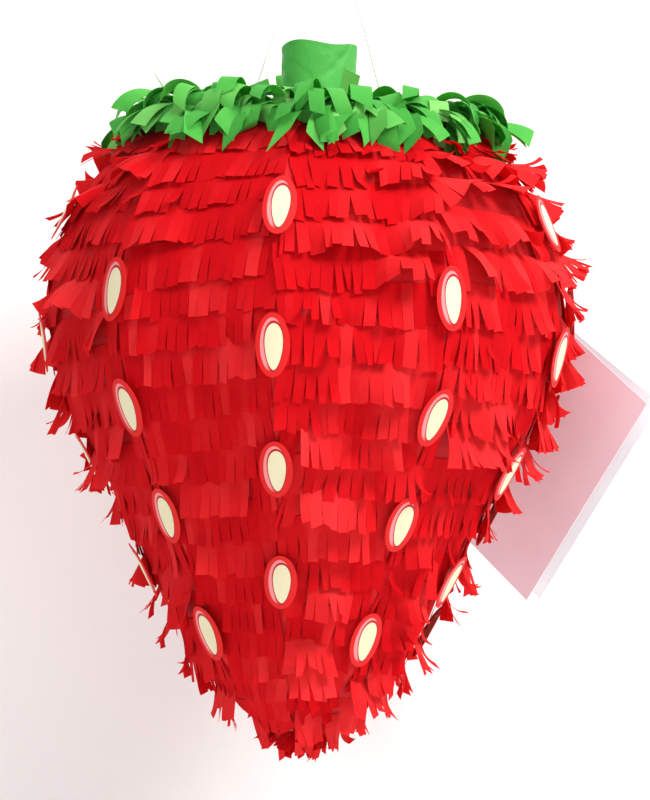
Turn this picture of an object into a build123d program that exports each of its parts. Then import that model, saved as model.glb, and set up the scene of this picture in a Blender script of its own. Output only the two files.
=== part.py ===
"""A hanging strawberry pinata: a ten-sided cardboard shell under tissue fringe, with a stem, a
calyx, card seeds, a fill flap, a folded label on a tag pin, and the string that it hangs from.

Millimetres. +Z is up, the front ridge faces -Y, and the origin is where a hook bears in the
string's loop, so the whole pinata hangs below it.
"""

from build123d import *
from math import asin, atan, atan2, cos, degrees, radians, sin, sqrt, tan
import os

# ---------------------------------------------------------------- driving dimensions

# Cardboard shell
panel_count = 10
front_ridge_turn = -97.0  # direction of the front ridge about Z; -90 is straight to the front
wall = 3.0
seam_gap = 0.3  # between neighbouring panels, under the ridge tape
belly_apothem = 141.2  # centre to the widest point of a panel's outer face
belly_arc = 127.0  # radius of a panel's bend over shoulder and belly
shoulder_angle = 54.0  # slope of the wall from vertical where it meets the top disc
flank_angle = 27.0  # slope of the straight flank
tip_arc = 115.0
tip_angle = 67.5  # slope of the wall where it meets the tip
tip_apothem = 8.0  # half width of the hole left at the tip
tape_width = 20.0
tape_thickness = 0.2

# Tissue fringe
fringe_clearance = 0.4
fringe_thickness = 4.0
fringe_start_drop = 12.0  # top row's lower edge under the calyx, measured down from the shoulder
tip_fringe_radius = 20.0
tip_fringe_thickness = 5.0
tip_cap_radius = 16.0
tip_cap_thickness = 1.5
tip_clearance = 0.3

# Seeds
seed_width = 18.0
seed_height = 34.0
seed_thickness = 0.5
seed_clearance = 0.3
even_seed_shares = (0.1477, 0.3613, 0.5515, 0.7314)  # seed centres, as shares of the body's height
odd_seed_shares = (0.2814, 0.4646, 0.6343, 0.8250)

# String and its anchorage
hook_to_disc = 172.0  # from the hook's seat down to the top disc
string_diameter = 1.2
hook_radius = 5.0
loop_height = 30.0  # from the hook's seat down to the gathering knot
hole_spacing_share = 0.48397  # of the top disc's width across its flats
string_hole_clearance = 2.0
gathering_knot_radius = 2.8
gathering_knot_height = 7.0
strand_gap = 0.8  # between the two strands in the gathering knot
loop_corner = 7.2  # half width of the loop, measured at its unrounded corners
knot_bend = 10.0
stopper_knot_radius = 4.0
stopper_knot_slack = 1.2
string_plate_margin = 17.0  # past each hole
string_plate_width = 40.0
string_plate_thickness = 4.0
string_plate_corner = 4.0

# Stem
stem_height = 39.0
stem_tube_radius = 19.0
stem_tube_wall = 2.0
stem_cap_thickness = 1.5
stem_paper = 1.0
stem_paper_rise = 6.0  # of the tucked-in top over the cap
stem_clearance = 0.3

# Calyx: three coils of green fringe on the top disc
calyx_overhang = 3.1  # past the shoulder's corners
calyx_string_gap = 13.0  # from the string's holes out to the middle coil
calyx_coil_gap = 4.0
calyx_inner_gap = 9.4  # from the string's holes in to the inner coil
calyx_height = 20.0
calyx_clearance = 0.3

# Fill flap in the back panel
flap_panel = 5
flap_drop = 46.0  # crease, below the shoulder
flap_height = 50.0
flap_width = 58.0
flap_gap = 0.6
crease_margin = 6.0  # bare card on each side of the crease

# Label: a folded card on a tag pin
label_ridge = 4
label_panel = 3
label_width = 105.0
label_length = 148.0
label_card = 0.4
label_stand_off = 7.5  # between the label and the seeds on its ridge
label_hole_from_spine = 13.0
label_hole_from_top = 18.0
spine_gap = 0.6
label_opening = 7.0  # how far the cover stands open
pin_side = 34.0  # pin, sideways from the ridge
pin_drop = 109.0
pin_radius = 0.6
pin_bar_radius = 0.6
pin_bar_length = 10.0
pin_clearance = 0.4
pin_fringe_margin = 2.0

# ---------------------------------------------------------------- derived sizes

half_turn = 180 / panel_count
disc_top = -hook_to_disc
shoulder_z = disc_top - wall
belly_z = shoulder_z - belly_arc * sin(radians(shoulder_angle))
arc_centre = belly_apothem - belly_arc
flank_start = arc_centre + belly_arc * cos(radians(flank_angle))
tip_run = tip_arc * (cos(radians(flank_angle)) - cos(radians(tip_angle)))
tip_end = tip_apothem / 2
flank_length = (flank_start - tip_run - tip_end) / sin(radians(flank_angle))
shoulder_apothem = arc_centre + belly_arc * cos(radians(shoulder_angle))
hole_spacing = hole_spacing_share * 2 * shoulder_apothem
fringe_top = fringe_clearance + fringe_thickness
lowest = (  # height of the wall's lowest edge
    belly_z
    - belly_arc * sin(radians(flank_angle))
    - flank_length * cos(radians(flank_angle))
    - tip_arc * (sin(radians(tip_angle)) - sin(radians(flank_angle)))
)
body_height = shoulder_z - lowest
body_drop = body_height + wall
reach = 2 * belly_apothem
spare = 20.0  # how far a cutting tool runs past what it cuts
string_radius = string_diameter / 2
string_hole_radius = string_radius + string_hole_clearance
pin_hole_radius = pin_radius + pin_clearance
label_offset = (
    (belly_apothem + fringe_top + seed_clearance) / cos(radians(half_turn))
    + seed_thickness
    + label_stand_off
)

os.makedirs("parts", exist_ok=True)


def ridge_turn(index):
    """Direction of a ridge about Z, in degrees."""
    return front_ridge_turn + index * 2 * half_turn


def panel_turn(index):
    """Direction of a panel's middle about Z, in degrees."""
    return ridge_turn(index) + half_turn


def outward(turn, rise=0.0):
    """Unit vector at a direction about Z, tipped up by an angle."""
    level = cos(radians(rise))
    return Vector(cos(radians(turn)) * level, sin(radians(turn)) * level, sin(radians(rise)))


def upright(turn):
    """Plane through the Z axis whose x points outward at that direction and whose y is up."""
    return Plane(origin=(0, 0, 0), x_dir=outward(turn), z_dir=outward(turn - 90))


def skin_slope(drop, depth=0.0):
    """Upward tilt of a panel's normal, in degrees, at a drop below the shoulder."""
    sine = (shoulder_z - drop - belly_z) / (belly_arc + depth)
    return max(degrees(asin(max(sine, -1))), -flank_angle)


def skin_apothem(drop, depth=0.0):
    """Centre to skin across a panel's middle, down to the end of the straight flank."""
    arc = belly_arc + depth
    down = belly_z - (shoulder_z - drop)
    bend_end = arc * sin(radians(flank_angle))
    if down < bend_end:
        return arc_centre + sqrt(arc**2 - down**2)
    flank_top = arc_centre + arc * cos(radians(flank_angle))
    return flank_top - (down - bend_end) * tan(radians(flank_angle))


def skin_line(depth):
    """Draws a panel's bend at a depth outside the card's outer face. Returns its two ends."""
    arc = belly_arc + depth
    over = 12.0  # the line starts above the shoulder and is trimmed there
    rise = shoulder_angle + over
    start = (arc_centre + arc * cos(radians(rise)), belly_z + arc * sin(radians(rise)))
    heading = (sin(radians(rise)), -cos(radians(rise)))
    shoulder = JernArc(start, heading, arc, -(rise + flank_angle))
    flank = Line(shoulder @ 1, (shoulder @ 1) + (shoulder % 1) * flank_length)
    tip = JernArc(flank @ 1, flank % 1, tip_arc + depth, -(tip_angle - flank_angle))
    return shoulder @ 0, tip @ 1


def layer(turn, depths, drops, half_width, nearest=tip_apothem, ridges=None, gap=0.0):
    """A curved slab of the shell between two depths and two drops.

    Its sides are flat at half_width, or mitred half a gap short of the two ridges given.
    """
    with BuildPart() as slab:
        with BuildSketch(upright(turn)):
            with BuildLine():
                inner_top, inner_tip = skin_line(depths[0])
                outer_top, outer_tip = skin_line(depths[1])
                Line(inner_top, outer_top)
                Line(inner_tip, outer_tip)
            make_face()
            with Locations(((nearest + reach) / 2, shoulder_z - sum(drops) / 2)):
                Rectangle(reach - nearest, drops[1] - drops[0], mode=Mode.INTERSECT)
        extrude(amount=half_width, both=True)
        if ridges:
            after_first = outward(ridge_turn(ridges[0]) + 90)
            before_second = outward(ridge_turn(ridges[1]) - 90)
            split(bisect_by=Plane(origin=after_first * gap / 2, z_dir=after_first))
            split(bisect_by=Plane(origin=before_second * gap / 2, z_dir=before_second))
    return slab.part


def panel_layer(index, depths, drops, gap=0.0, nearest=tip_apothem):
    """One panel's layer, from ridge to ridge."""
    ridges = (index, index + 1)
    return layer(panel_turn(index), depths, drops, belly_apothem, nearest, ridges, gap)


def ridge_plane(index, drop, depth):
    """Plane that touches the shell along a ridge, a depth outside the card."""
    share = cos(radians(half_turn))
    tilt = degrees(atan(tan(radians(skin_slope(drop, depth))) / share))
    radius = skin_apothem(drop, depth) / share
    turn = ridge_turn(index)
    origin = outward(turn) * radius + Vector(0, 0, shoulder_z - drop)
    return Plane(origin=origin, x_dir=outward(turn + 90), z_dir=outward(turn, tilt))


def save(builder, name):
    """Labels a finished piece and writes it."""
    builder.part.label = name
    export_step(builder.part, f"parts/{name}.step")


# ---------------------------------------------------------------- label frame
# The card hangs from its hole, so its tilt is set by where the hole is.

label_turn = ridge_turn(label_ridge)
label_sideways = outward(label_turn - 90)
label_tilt = degrees(
    atan2(label_width / 2 - label_hole_from_spine, label_length / 2 - label_hole_from_top)
)
card_across = (
    label_sideways * cos(radians(label_tilt)) - Vector(0, 0, 1) * sin(radians(label_tilt))
)
pin_z = shoulder_z - pin_drop
pin_foot = label_sideways * pin_side + Vector(0, 0, pin_z)
card_plane = Plane(
    origin=pin_foot + outward(label_turn) * label_offset,
    x_dir=card_across,
    z_dir=outward(label_turn + 180),
)
spine_axis_x = -label_hole_from_spine
spine_axis_depth = label_card + spine_gap / 2
opening = radians(label_opening)
cover_plane = Plane(
    origin=card_plane.from_local_coords((spine_axis_x, 0, -spine_axis_depth)),
    x_dir=card_plane.x_dir * cos(opening) - card_plane.z_dir * sin(opening),
    z_dir=card_plane.x_dir * sin(opening) + card_plane.z_dir * cos(opening),
)
card_centre_y = label_hole_from_top - label_length / 2
wall_along_pin = (
    skin_apothem(pin_drop) - pin_side * sin(radians(half_turn))
) / cos(radians(half_turn))
pin_way = Plane(origin=pin_foot + outward(label_turn) * wall_along_pin, z_dir=outward(label_turn))


def pin_passage(radius):
    """A round tool along the tag pin, through everything on the panel."""
    with BuildPart() as passage:
        with BuildSketch(pin_way):
            Circle(radius)
        extrude(amount=spare, both=True)
    return passage.part


# ---------------------------------------------------------------- cardboard shell

panel_drops = (0.0, body_drop)
flap_cut_drops = (flap_drop - flap_gap, flap_drop + flap_height + flap_gap)
flap_cut_half_width = flap_width / 2 + flap_gap
through_wall = (-spare, spare)

for index in range(panel_count):
    with BuildPart() as panel:
        add(panel_layer(index, (-wall, 0.0), panel_drops, seam_gap))
        if index == flap_panel:
            add(
                layer(panel_turn(index), through_wall, flap_cut_drops, flap_cut_half_width),
                mode=Mode.SUBTRACT,
            )
        if index == label_panel:
            add(pin_passage(pin_hole_radius), mode=Mode.SUBTRACT)
    save(panel, f"panel_{index + 1:02d}")

# The tapes stop short of the tip, where neighbours would meet.
tape_depths = (0.0, tape_thickness)
tape_nearest = tape_width / 2 / sin(radians(half_turn)) + seam_gap

with BuildPart() as ridge_tapes:
    for index in range(panel_count):
        turn = ridge_turn(index)
        with BuildPart(mode=Mode.PRIVATE) as tape:
            for side in (index - 1, index):
                add(panel_layer(side, tape_depths, panel_drops, nearest=tape_nearest))
            strip = Plane(
                origin=(outward(turn) * reach / 2) + Vector(0, 0, shoulder_z),
                x_dir=outward(turn),
                z_dir=(0, 0, -1),
            )
            with BuildSketch(strip):
                Rectangle(reach, tape_width)
            extrude(amount=body_drop, mode=Mode.INTERSECT)
        add(tape.part)
save(ridge_tapes, "ridge_tapes")

with BuildPart() as top_disc:
    with BuildSketch(Plane.XY.offset(shoulder_z)):
        RegularPolygon(
            shoulder_apothem, panel_count, major_radius=False, rotation=front_ridge_turn
        )
        with GridLocations(hole_spacing, 0, 2, 1):
            Circle(string_hole_radius, mode=Mode.SUBTRACT)
    extrude(amount=wall)
save(top_disc, "top_disc")

with BuildPart() as string_plate:
    with BuildSketch(Plane.XY.offset(shoulder_z)):
        Rectangle(hole_spacing + 2 * string_plate_margin, string_plate_width)
        with GridLocations(hole_spacing, 0, 2, 1):
            Circle(string_hole_radius, mode=Mode.SUBTRACT)
    extrude(amount=-string_plate_thickness)
    corners = string_plate.edges().filter_by(Axis.Z).group_by(SortBy.LENGTH)[-1]
    fillet(corners, radius=string_plate_corner)
save(string_plate, "string_plate")


def tip_surface(apothem):
    """Height of the wall's outer face near the tip."""
    across = apothem - tip_end + tip_arc * cos(radians(tip_angle))
    return lowest + tip_arc * sin(radians(tip_angle)) - sqrt(tip_arc**2 - across**2)


def tip_cone(radius, thickness, gap):
    """A shallow cone under the tip, a gap below the wall."""
    share = cos(radians(half_turn))
    hole_edge = tip_apothem / share
    edge_z = tip_surface(tip_apothem) - gap
    slope = (tip_surface(tip_cap_radius * share) - tip_surface(tip_apothem)) / (
        tip_cap_radius - hole_edge
    )
    middle_z = edge_z - hole_edge * slope
    rim_z = edge_z + (radius - hole_edge) * slope
    with BuildPart() as cone:
        with BuildSketch(Plane.XZ):
            with BuildLine():
                Polyline(
                    (0, middle_z),
                    (radius, rim_z),
                    (radius, rim_z - thickness),
                    (0, middle_z - thickness),
                    close=True,
                )
            make_face()
        revolve(axis=Axis.Z)
    return cone.part


with BuildPart() as tip_cap:
    add(tip_cone(tip_cap_radius, tip_cap_thickness, tip_clearance))
save(tip_cap, "tip_cap")

# ---------------------------------------------------------------- red tissue fringe

fringe_depths = (fringe_clearance, fringe_top)
fringe_drops = (fringe_start_drop, body_drop)
fringe_nearest = tip_fringe_radius + tip_clearance
fringe_cut_drops = (flap_drop - crease_margin, flap_drop + flap_height + flap_gap)
flap_fringe_drops = (flap_drop + crease_margin, flap_drop + flap_height)

for index in range(panel_count):
    with BuildPart() as red_fringe:
        add(panel_layer(index, fringe_depths, fringe_drops, seam_gap, fringe_nearest))
        if index == flap_panel:
            add(
                layer(panel_turn(index), through_wall, fringe_cut_drops, flap_cut_half_width),
                mode=Mode.SUBTRACT,
            )
        if index == label_panel:
            add(pin_passage(pin_hole_radius + pin_fringe_margin), mode=Mode.SUBTRACT)
    save(red_fringe, f"red_fringe_{index + 1:02d}")

with BuildPart() as tip_fringe:
    add(tip_cone(tip_fringe_radius, tip_fringe_thickness, 2 * tip_clearance + tip_cap_thickness))
save(tip_fringe, "tip_fringe")

# ---------------------------------------------------------------- fill flap

with BuildPart() as fill_flap:
    add(
        layer(
            panel_turn(flap_panel),
            (-wall, 0.0),
            (flap_drop, flap_drop + flap_height),
            flap_width / 2,
        )
    )
save(fill_flap, "fill_flap")

with BuildPart() as flap_fringe:
    add(layer(panel_turn(flap_panel), fringe_depths, flap_fringe_drops, flap_width / 2))
save(flap_fringe, "flap_fringe")

# ---------------------------------------------------------------- seeds on the ridges

for index in range(panel_count):
    shares = odd_seed_shares if index % 2 else even_seed_shares
    with BuildPart() as seeds:
        for share in shares:
            drop = share * body_height
            with BuildSketch(ridge_plane(index, drop, fringe_top + seed_clearance)):
                Ellipse(seed_width / 2, seed_height / 2)
            extrude(amount=seed_thickness)
    save(seeds, f"seeds_{index + 1:02d}")

# ---------------------------------------------------------------- stem and calyx

stem_top = disc_top + stem_height

with BuildPart() as stem_tube:
    with BuildSketch(Plane.XY.offset(disc_top)):
        Circle(stem_tube_radius)
        Circle(stem_tube_radius - stem_tube_wall, mode=Mode.SUBTRACT)
    extrude(amount=stem_height)
save(stem_tube, "stem_tube")

with BuildPart() as stem_cap:
    with BuildSketch(Plane.XY.offset(stem_top)):
        Circle(stem_tube_radius)
    extrude(amount=stem_cap_thickness)
save(stem_cap, "stem_cap")

wrap_inner_radius = stem_tube_radius + stem_clearance
wrap_inner_top = stem_top + stem_cap_thickness + stem_paper_rise
wrap_radius = wrap_inner_radius + stem_paper

with BuildPart() as stem_wrap:
    with BuildSketch(Plane.XY.offset(disc_top)):
        Circle(wrap_radius)
    extrude(amount=wrap_inner_top + stem_paper - disc_top)
    with BuildSketch(Plane.XY.offset(disc_top)):
        Circle(wrap_inner_radius)
    extrude(amount=wrap_inner_top - disc_top, mode=Mode.SUBTRACT)
save(stem_wrap, "stem_wrap")

calyx_rim = shoulder_apothem / cos(radians(half_turn)) + calyx_overhang
calyx_middle = hole_spacing / 2 + calyx_string_gap
calyx_core = wrap_radius + calyx_clearance
coil_width = (calyx_rim - calyx_middle - calyx_coil_gap) / 2
calyx_coils = {
    "calyx_outer_coil": (calyx_rim - coil_width, calyx_rim),
    "calyx_middle_coil": (calyx_middle, calyx_middle + coil_width),
    "calyx_inner_coil": (calyx_core, hole_spacing / 2 - calyx_inner_gap),
}

for name, (inner_radius, outer_radius) in calyx_coils.items():
    with BuildPart() as coil:
        with BuildSketch(Plane.XY.offset(disc_top)):
            Circle(outer_radius)
            Circle(inner_radius, mode=Mode.SUBTRACT)
        extrude(amount=calyx_height)
    save(coil, name)

# ---------------------------------------------------------------- hanging string

stack = wall + string_plate_thickness
rock_axis_z = disc_top - stack / 2
strand_offset = (strand_gap + string_diameter) / 2
strand_slope = (hole_spacing / 2 - strand_offset) / (-loop_height - rock_axis_z)
stopper_z = rock_axis_z - stack / 2 - stopper_knot_slack - stopper_knot_radius
stopper_x = hole_spacing / 2 + (rock_axis_z - stopper_z) * strand_slope
loop_bend = hook_radius + string_radius
route_points = [
    (-stopper_x, stopper_z),
    (-strand_offset, -loop_height),
    (-loop_corner, string_radius),
    (loop_corner, string_radius),
    (strand_offset, -loop_height),
    (stopper_x, stopper_z),
]
route_bends = [knot_bend, loop_bend, loop_bend, knot_bend]

with BuildPart() as hanging_string:
    with BuildLine(Plane.XZ) as route:
        FilletPolyline(*route_points, radius=route_bends)
    with BuildSketch(Plane(origin=route.line @ 0, z_dir=route.line % 0)):
        Circle(string_radius)
    sweep(path=route.line)
save(hanging_string, "hanging_string")
route_length = route.wires()[0].length
string_section = hanging_string.part.volume / route_length
print(f"string: {route_length:.1f} mm long, section {string_section:.4f} mm2, bends {route_bends}")

with BuildPart() as gathering_knot:
    with BuildSketch(Plane.XZ):
        with Locations((0, -loop_height)):
            Ellipse(gathering_knot_radius, gathering_knot_height / 2)
        with Locations((-gathering_knot_radius, -loop_height)):
            Rectangle(2 * gathering_knot_radius, gathering_knot_height, mode=Mode.SUBTRACT)
    revolve(axis=Axis.Z)
save(gathering_knot, "gathering_knot")

with BuildPart() as stopper_knots:
    with Locations((-stopper_x, 0, stopper_z), (stopper_x, 0, stopper_z)):
        Sphere(stopper_knot_radius)
save(stopper_knots, "stopper_knots")

# ---------------------------------------------------------------- label and tag pin

leaf_start = spine_axis_x + spine_gap / 2
leaf_end = label_width - label_hole_from_spine
cover_plane_centre = (spine_gap / 2 + label_width) / 2

with BuildPart() as label_leaf:
    with BuildSketch(card_plane):
        with Locations(((leaf_start + leaf_end) / 2, card_centre_y)):
            Rectangle(leaf_end - leaf_start, label_length)
        Circle(pin_hole_radius, mode=Mode.SUBTRACT)
    extrude(amount=-label_card)
save(label_leaf, "label_leaf")

with BuildPart() as label_cover:
    with BuildSketch(cover_plane.offset(-spine_gap / 2)):
        with Locations((cover_plane_centre, card_centre_y)):
            Rectangle(label_width - spine_gap / 2, label_length)
    extrude(amount=-label_card)
save(label_cover, "label_cover")

bar_reach = pin_bar_length / 2 * tan(radians(half_turn)) + pin_bar_radius + pin_clearance
inner_bar_depth = wall_along_pin - wall / cos(radians(half_turn)) - bar_reach
outer_bar_depth = label_offset + label_card + pin_bar_radius + pin_clearance

with BuildPart() as tag_pin:
    with BuildSketch(pin_way.offset(inner_bar_depth - wall_along_pin)):
        Circle(pin_radius)
    extrude(amount=outer_bar_depth - inner_bar_depth)
    for depth in (inner_bar_depth, outer_bar_depth):
        bar_middle = pin_foot + outward(label_turn) * depth
        with BuildSketch(Plane(origin=bar_middle, z_dir=card_plane.y_dir)):
            Circle(pin_bar_radius)
        extrude(amount=pin_bar_length / 2, both=True)
save(tag_pin, "tag_pin")
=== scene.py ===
"""A hanging strawberry pinata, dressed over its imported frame.

Cut tissue covers ten card panels, and card seeds sit on the ridges. A paper-wrapped stem stands in
a calyx of curled green tissue, a folded label hangs on a nylon pin, and one string carries it all.
"""

import logging
import math
from dataclasses import dataclass, field, replace
from enum import Enum

import bpy
import numpy as np
from mathutils import Matrix, Vector
from mathutils.bvhtree import BVHTree


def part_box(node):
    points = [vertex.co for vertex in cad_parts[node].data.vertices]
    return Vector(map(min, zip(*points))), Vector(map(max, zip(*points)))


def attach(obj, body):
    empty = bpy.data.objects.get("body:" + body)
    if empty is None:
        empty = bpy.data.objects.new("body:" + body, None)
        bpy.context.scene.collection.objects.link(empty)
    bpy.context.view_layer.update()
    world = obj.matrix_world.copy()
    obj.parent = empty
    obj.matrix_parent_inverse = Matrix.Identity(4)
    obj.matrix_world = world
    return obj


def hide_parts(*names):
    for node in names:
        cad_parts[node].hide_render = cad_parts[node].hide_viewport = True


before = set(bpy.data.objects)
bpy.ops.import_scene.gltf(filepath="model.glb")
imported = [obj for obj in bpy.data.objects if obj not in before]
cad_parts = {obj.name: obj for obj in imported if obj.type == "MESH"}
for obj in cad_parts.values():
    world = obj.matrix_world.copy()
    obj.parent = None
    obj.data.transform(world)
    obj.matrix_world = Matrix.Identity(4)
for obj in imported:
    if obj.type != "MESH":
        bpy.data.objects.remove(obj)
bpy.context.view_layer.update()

LOG = logging.getLogger("pinata")
MM = 0.001
UP = np.array((0.0, 0.0, 1.0))
SHELL = "shell"
HANGER = "hanger"
CRISP_ANGLE = math.radians(50)
Colour = tuple[float, float, float]
Arrays = dict[str, np.ndarray]


# ------------------------------------------------------------------ node writing


@dataclass(frozen=True)
class Field:
    """A node socket that arithmetic is written on."""

    graph: "Graph"
    socket: bpy.types.NodeSocket
    is_vector: bool = False

    def _with(self, operation: str, first: object, second: object) -> "Field":
        """Writes one sum, difference or product, on vectors where either side is one.

        Args:
            operation: ADD, SUBTRACT or MULTIPLY.
            first: The left side, a field or a number.
            second: The right side, a field or a number.

        Returns:
            The result.
        """
        vectors = [v for v in (first, second) if isinstance(v, Field) and v.is_vector]
        if not vectors:
            return self.graph.math(operation, first, second)
        if operation == "MULTIPLY" and len(vectors) == 1:
            factor = second if vectors[0] is first else first
            return self.graph.vector_math("SCALE", vectors[0], scale=factor)
        return self.graph.vector_math(operation, first, second)

    def __add__(self, other: object) -> "Field":
        """The sum."""
        return self._with("ADD", self, other)

    def __sub__(self, other: object) -> "Field":
        """The difference."""
        return self._with("SUBTRACT", self, other)

    def __rsub__(self, other: object) -> "Field":
        """The difference, from the right."""
        return self._with("SUBTRACT", other, self)

    def __mul__(self, other: object) -> "Field":
        """The product."""
        return self._with("MULTIPLY", self, other)

    def __truediv__(self, other: object) -> "Field":
        """The quotient of two numbers."""
        return self.graph.math("DIVIDE", self, other)


class Graph:
    """Writes nodes into one shader or geometry tree."""

    def __init__(self, tree: bpy.types.NodeTree) -> None:
        """Takes an empty tree."""
        self.tree = tree

    def add(
        self, kind: str, inputs: dict | None = None, settings: dict | None = None
    ) -> bpy.types.Node:
        """Adds a node.

        Args:
            kind: Blender's name for the node type.
            inputs: Values or fields by socket name or number.
            settings: The node's own settings.

        Returns:
            The new node.
        """
        node = self.tree.nodes.new(kind)
        count = len(self.tree.nodes)
        node.location = (200 * (count % 10), -260 * (count // 10))
        for name, value in (settings or {}).items():
            setattr(node, name, value)
        for name, value in (inputs or {}).items():
            self.put(node.inputs[name], value)
        return node

    def put(self, socket: bpy.types.NodeSocket, value: object) -> None:
        """Links a field into a socket, or sets the socket's own value.

        Args:
            socket: The input to fill.
            value: A field, another node's socket or a plain value.
        """
        if isinstance(value, Field):
            value = value.socket
        if isinstance(value, bpy.types.NodeSocket):
            self.tree.links.new(value, socket)
        else:
            socket.default_value = value

    def field(self, node: bpy.types.Node, output: int | str = 0, is_vector: bool = False) -> Field:
        """Wraps a node's output."""
        return Field(self, node.outputs[output], is_vector)

    def math(self, operation: str, *values: object) -> Field:
        """Writes a Math node."""
        settings = {"operation": operation}
        return self.field(self.add("ShaderNodeMath", dict(enumerate(values)), settings))

    def vector_math(self, operation: str, *values: object, scale: object = None) -> Field:
        """Writes a Vector Math node; a length or dot product comes back as a number.

        Args:
            operation: Blender's name for the operation.
            *values: The vectors, in order.
            scale: The factor, where the operation is SCALE.

        Returns:
            The node's vector or number.
        """
        inputs = dict(enumerate(values))
        if scale is not None:
            inputs["Scale"] = scale
        node = self.add("ShaderNodeVectorMath", inputs, {"operation": operation})
        is_number = operation in ("LENGTH", "DOT_PRODUCT")
        return self.field(node, "Value" if is_number else "Vector", not is_number)

    def parts(self, vector: Field) -> tuple[Field, Field, Field]:
        """Splits a vector into its three numbers."""
        node = self.add("ShaderNodeSeparateXYZ", {0: vector})
        return tuple(self.field(node, index) for index in range(3))

    def noise(self, vector: Field, scale: object, detail: float) -> Field:
        """Writes a noise texture and returns its value."""
        inputs = {"Vector": vector, "Scale": scale, "Detail": detail}
        return self.field(self.add("ShaderNodeTexNoise", inputs))

    def spread(self, value: Field, low: float, high: float, smooth: bool = True) -> Field:
        """Maps low..high of a value to 0..1.

        Args:
            value: The value to map.
            low: What becomes 0; it may be the higher one.
            high: What becomes 1.
            smooth: Whether the ends are eased.

        Returns:
            The mapped value.
        """
        kind = "SMOOTHSTEP" if smooth else "LINEAR"
        inputs = {"Value": value, "From Min": low, "From Max": high}
        return self.field(self.add("ShaderNodeMapRange", inputs, {"interpolation_type": kind}))

    def mix(self, share: object, first: object, second: object, blend: str = "MIX") -> Field:
        """Mixes two colours.

        Args:
            share: How much of the second there is, 0 to 1.
            first: A colour or a field.
            second: A colour or a field.
            blend: How the second is laid over the first.

        Returns:
            The mixed colour.
        """
        first, second = (v if isinstance(v, Field) else (*v, 1.0) for v in (first, second))
        settings = {"data_type": "RGBA", "blend_type": blend}
        node = self.add("ShaderNodeMix", {0: share, 6: first, 7: second}, settings)
        return self.field(node, 2)

    def attribute(self, name: str) -> Field:
        """Reads a piece's own number by name, in a material."""
        return self.field(self.add("ShaderNodeAttribute", settings={"attribute_name": name}), "Fac")

    def coordinates(self, kind: str = "Object") -> Field:
        """Reads Object or UV coordinates, in a material."""
        return self.field(self.add("ShaderNodeTexCoord"), kind, True)

    def bump(self, height: Field, strength: float, distance: float) -> Field:
        """Turns a height into a normal."""
        inputs = {"Height": height, "Strength": strength, "Distance": distance}
        return self.field(self.add("ShaderNodeBump", inputs), "Normal", True)


# ------------------------------------------------------------------ finishes


GRAIN_SCALES = {"Fibre scale": 900.0, "Crease scale": 60.0, "Cloud scale": 30.0}
CREASE_WARP = 0.012
CREASE_SHARE = 0.65


def paper_grain() -> bpy.types.NodeTree:
    """Builds the fibre, crease and cloud that every paper here shares, once.

    Returns:
        A shader group with Height and Cloud outputs.
    """
    name = "paper grain"
    if name in bpy.data.node_groups:
        return bpy.data.node_groups[name]
    tree = bpy.data.node_groups.new(name, "ShaderNodeTree")
    sockets = tree.interface
    sockets.new_socket("Vector", in_out="INPUT", socket_type="NodeSocketVector")
    for socket, value in GRAIN_SCALES.items():
        made = sockets.new_socket(socket, in_out="INPUT", socket_type="NodeSocketFloat")
        made.default_value = value
    for socket in ("Height", "Cloud"):
        sockets.new_socket(socket, in_out="OUTPUT", socket_type="NodeSocketFloat")
    graph = Graph(tree)
    given = graph.add("NodeGroupInput")
    place = graph.field(given, "Vector", True)
    fibre = graph.noise(place, graph.field(given, "Fibre scale"), 3.0)
    warp = graph.noise(place, graph.field(given, "Cloud scale"), 3.0)
    cells = graph.add(
        "ShaderNodeTexVoronoi",
        {"Vector": place + warp * CREASE_WARP, "Scale": graph.field(given, "Crease scale")},
        {"feature": "DISTANCE_TO_EDGE"},
    )
    crease = graph.spread(graph.field(cells, "Distance"), 0.0, 0.25)
    height = fibre * (1.0 - CREASE_SHARE) + crease * CREASE_SHARE
    graph.add("NodeGroupOutput", {"Height": height, "Cloud": warp})
    return tree


@dataclass(frozen=True)
class Finish:
    """A finish that one material carries, with its slot in the record."""

    name: str
    slot: str
    roughness: float = 0.8
    specular: float = 0.25

    def start(self) -> tuple[bpy.types.Material, Graph, bpy.types.Node, bpy.types.Node]:
        """Makes an empty material with its shader and output.

        Returns:
            The material, its graph, its shader and its output.
        """
        material = bpy.data.materials.new(self.name)
        material.use_nodes = True
        material.node_tree.nodes.clear()
        graph = Graph(material.node_tree)
        settings = {"Roughness": self.roughness, "Specular IOR Level": self.specular}
        shader = graph.add("ShaderNodeBsdfPrincipled", settings)
        output = graph.add("ShaderNodeOutputMaterial", {"Surface": shader.outputs[0]})
        return material, graph, shader, output

    def material(self) -> bpy.types.Material:
        """Writes the material; each kind of finish has its own."""
        raise NotImplementedError

    def shared(self) -> bpy.types.Material:
        """Returns the material, made once."""
        return bpy.data.materials.get(self.name) or self.material()

    def grain(self, graph: Graph, **scales: float) -> tuple[Field, Field]:
        """Places the shared paper grain.

        Args:
            graph: The material's graph.
            **scales: The grain's scales, by socket name with _ for a space.

        Returns:
            The height and the cloud.
        """
        node = graph.add("ShaderNodeGroup", settings={"node_tree": paper_grain()})
        graph.put(node.inputs["Vector"], graph.coordinates())
        for socket, value in scales.items():
            node.inputs[socket.replace("_", " ")].default_value = value
        return graph.field(node, "Height"), graph.field(node, "Cloud")


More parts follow.
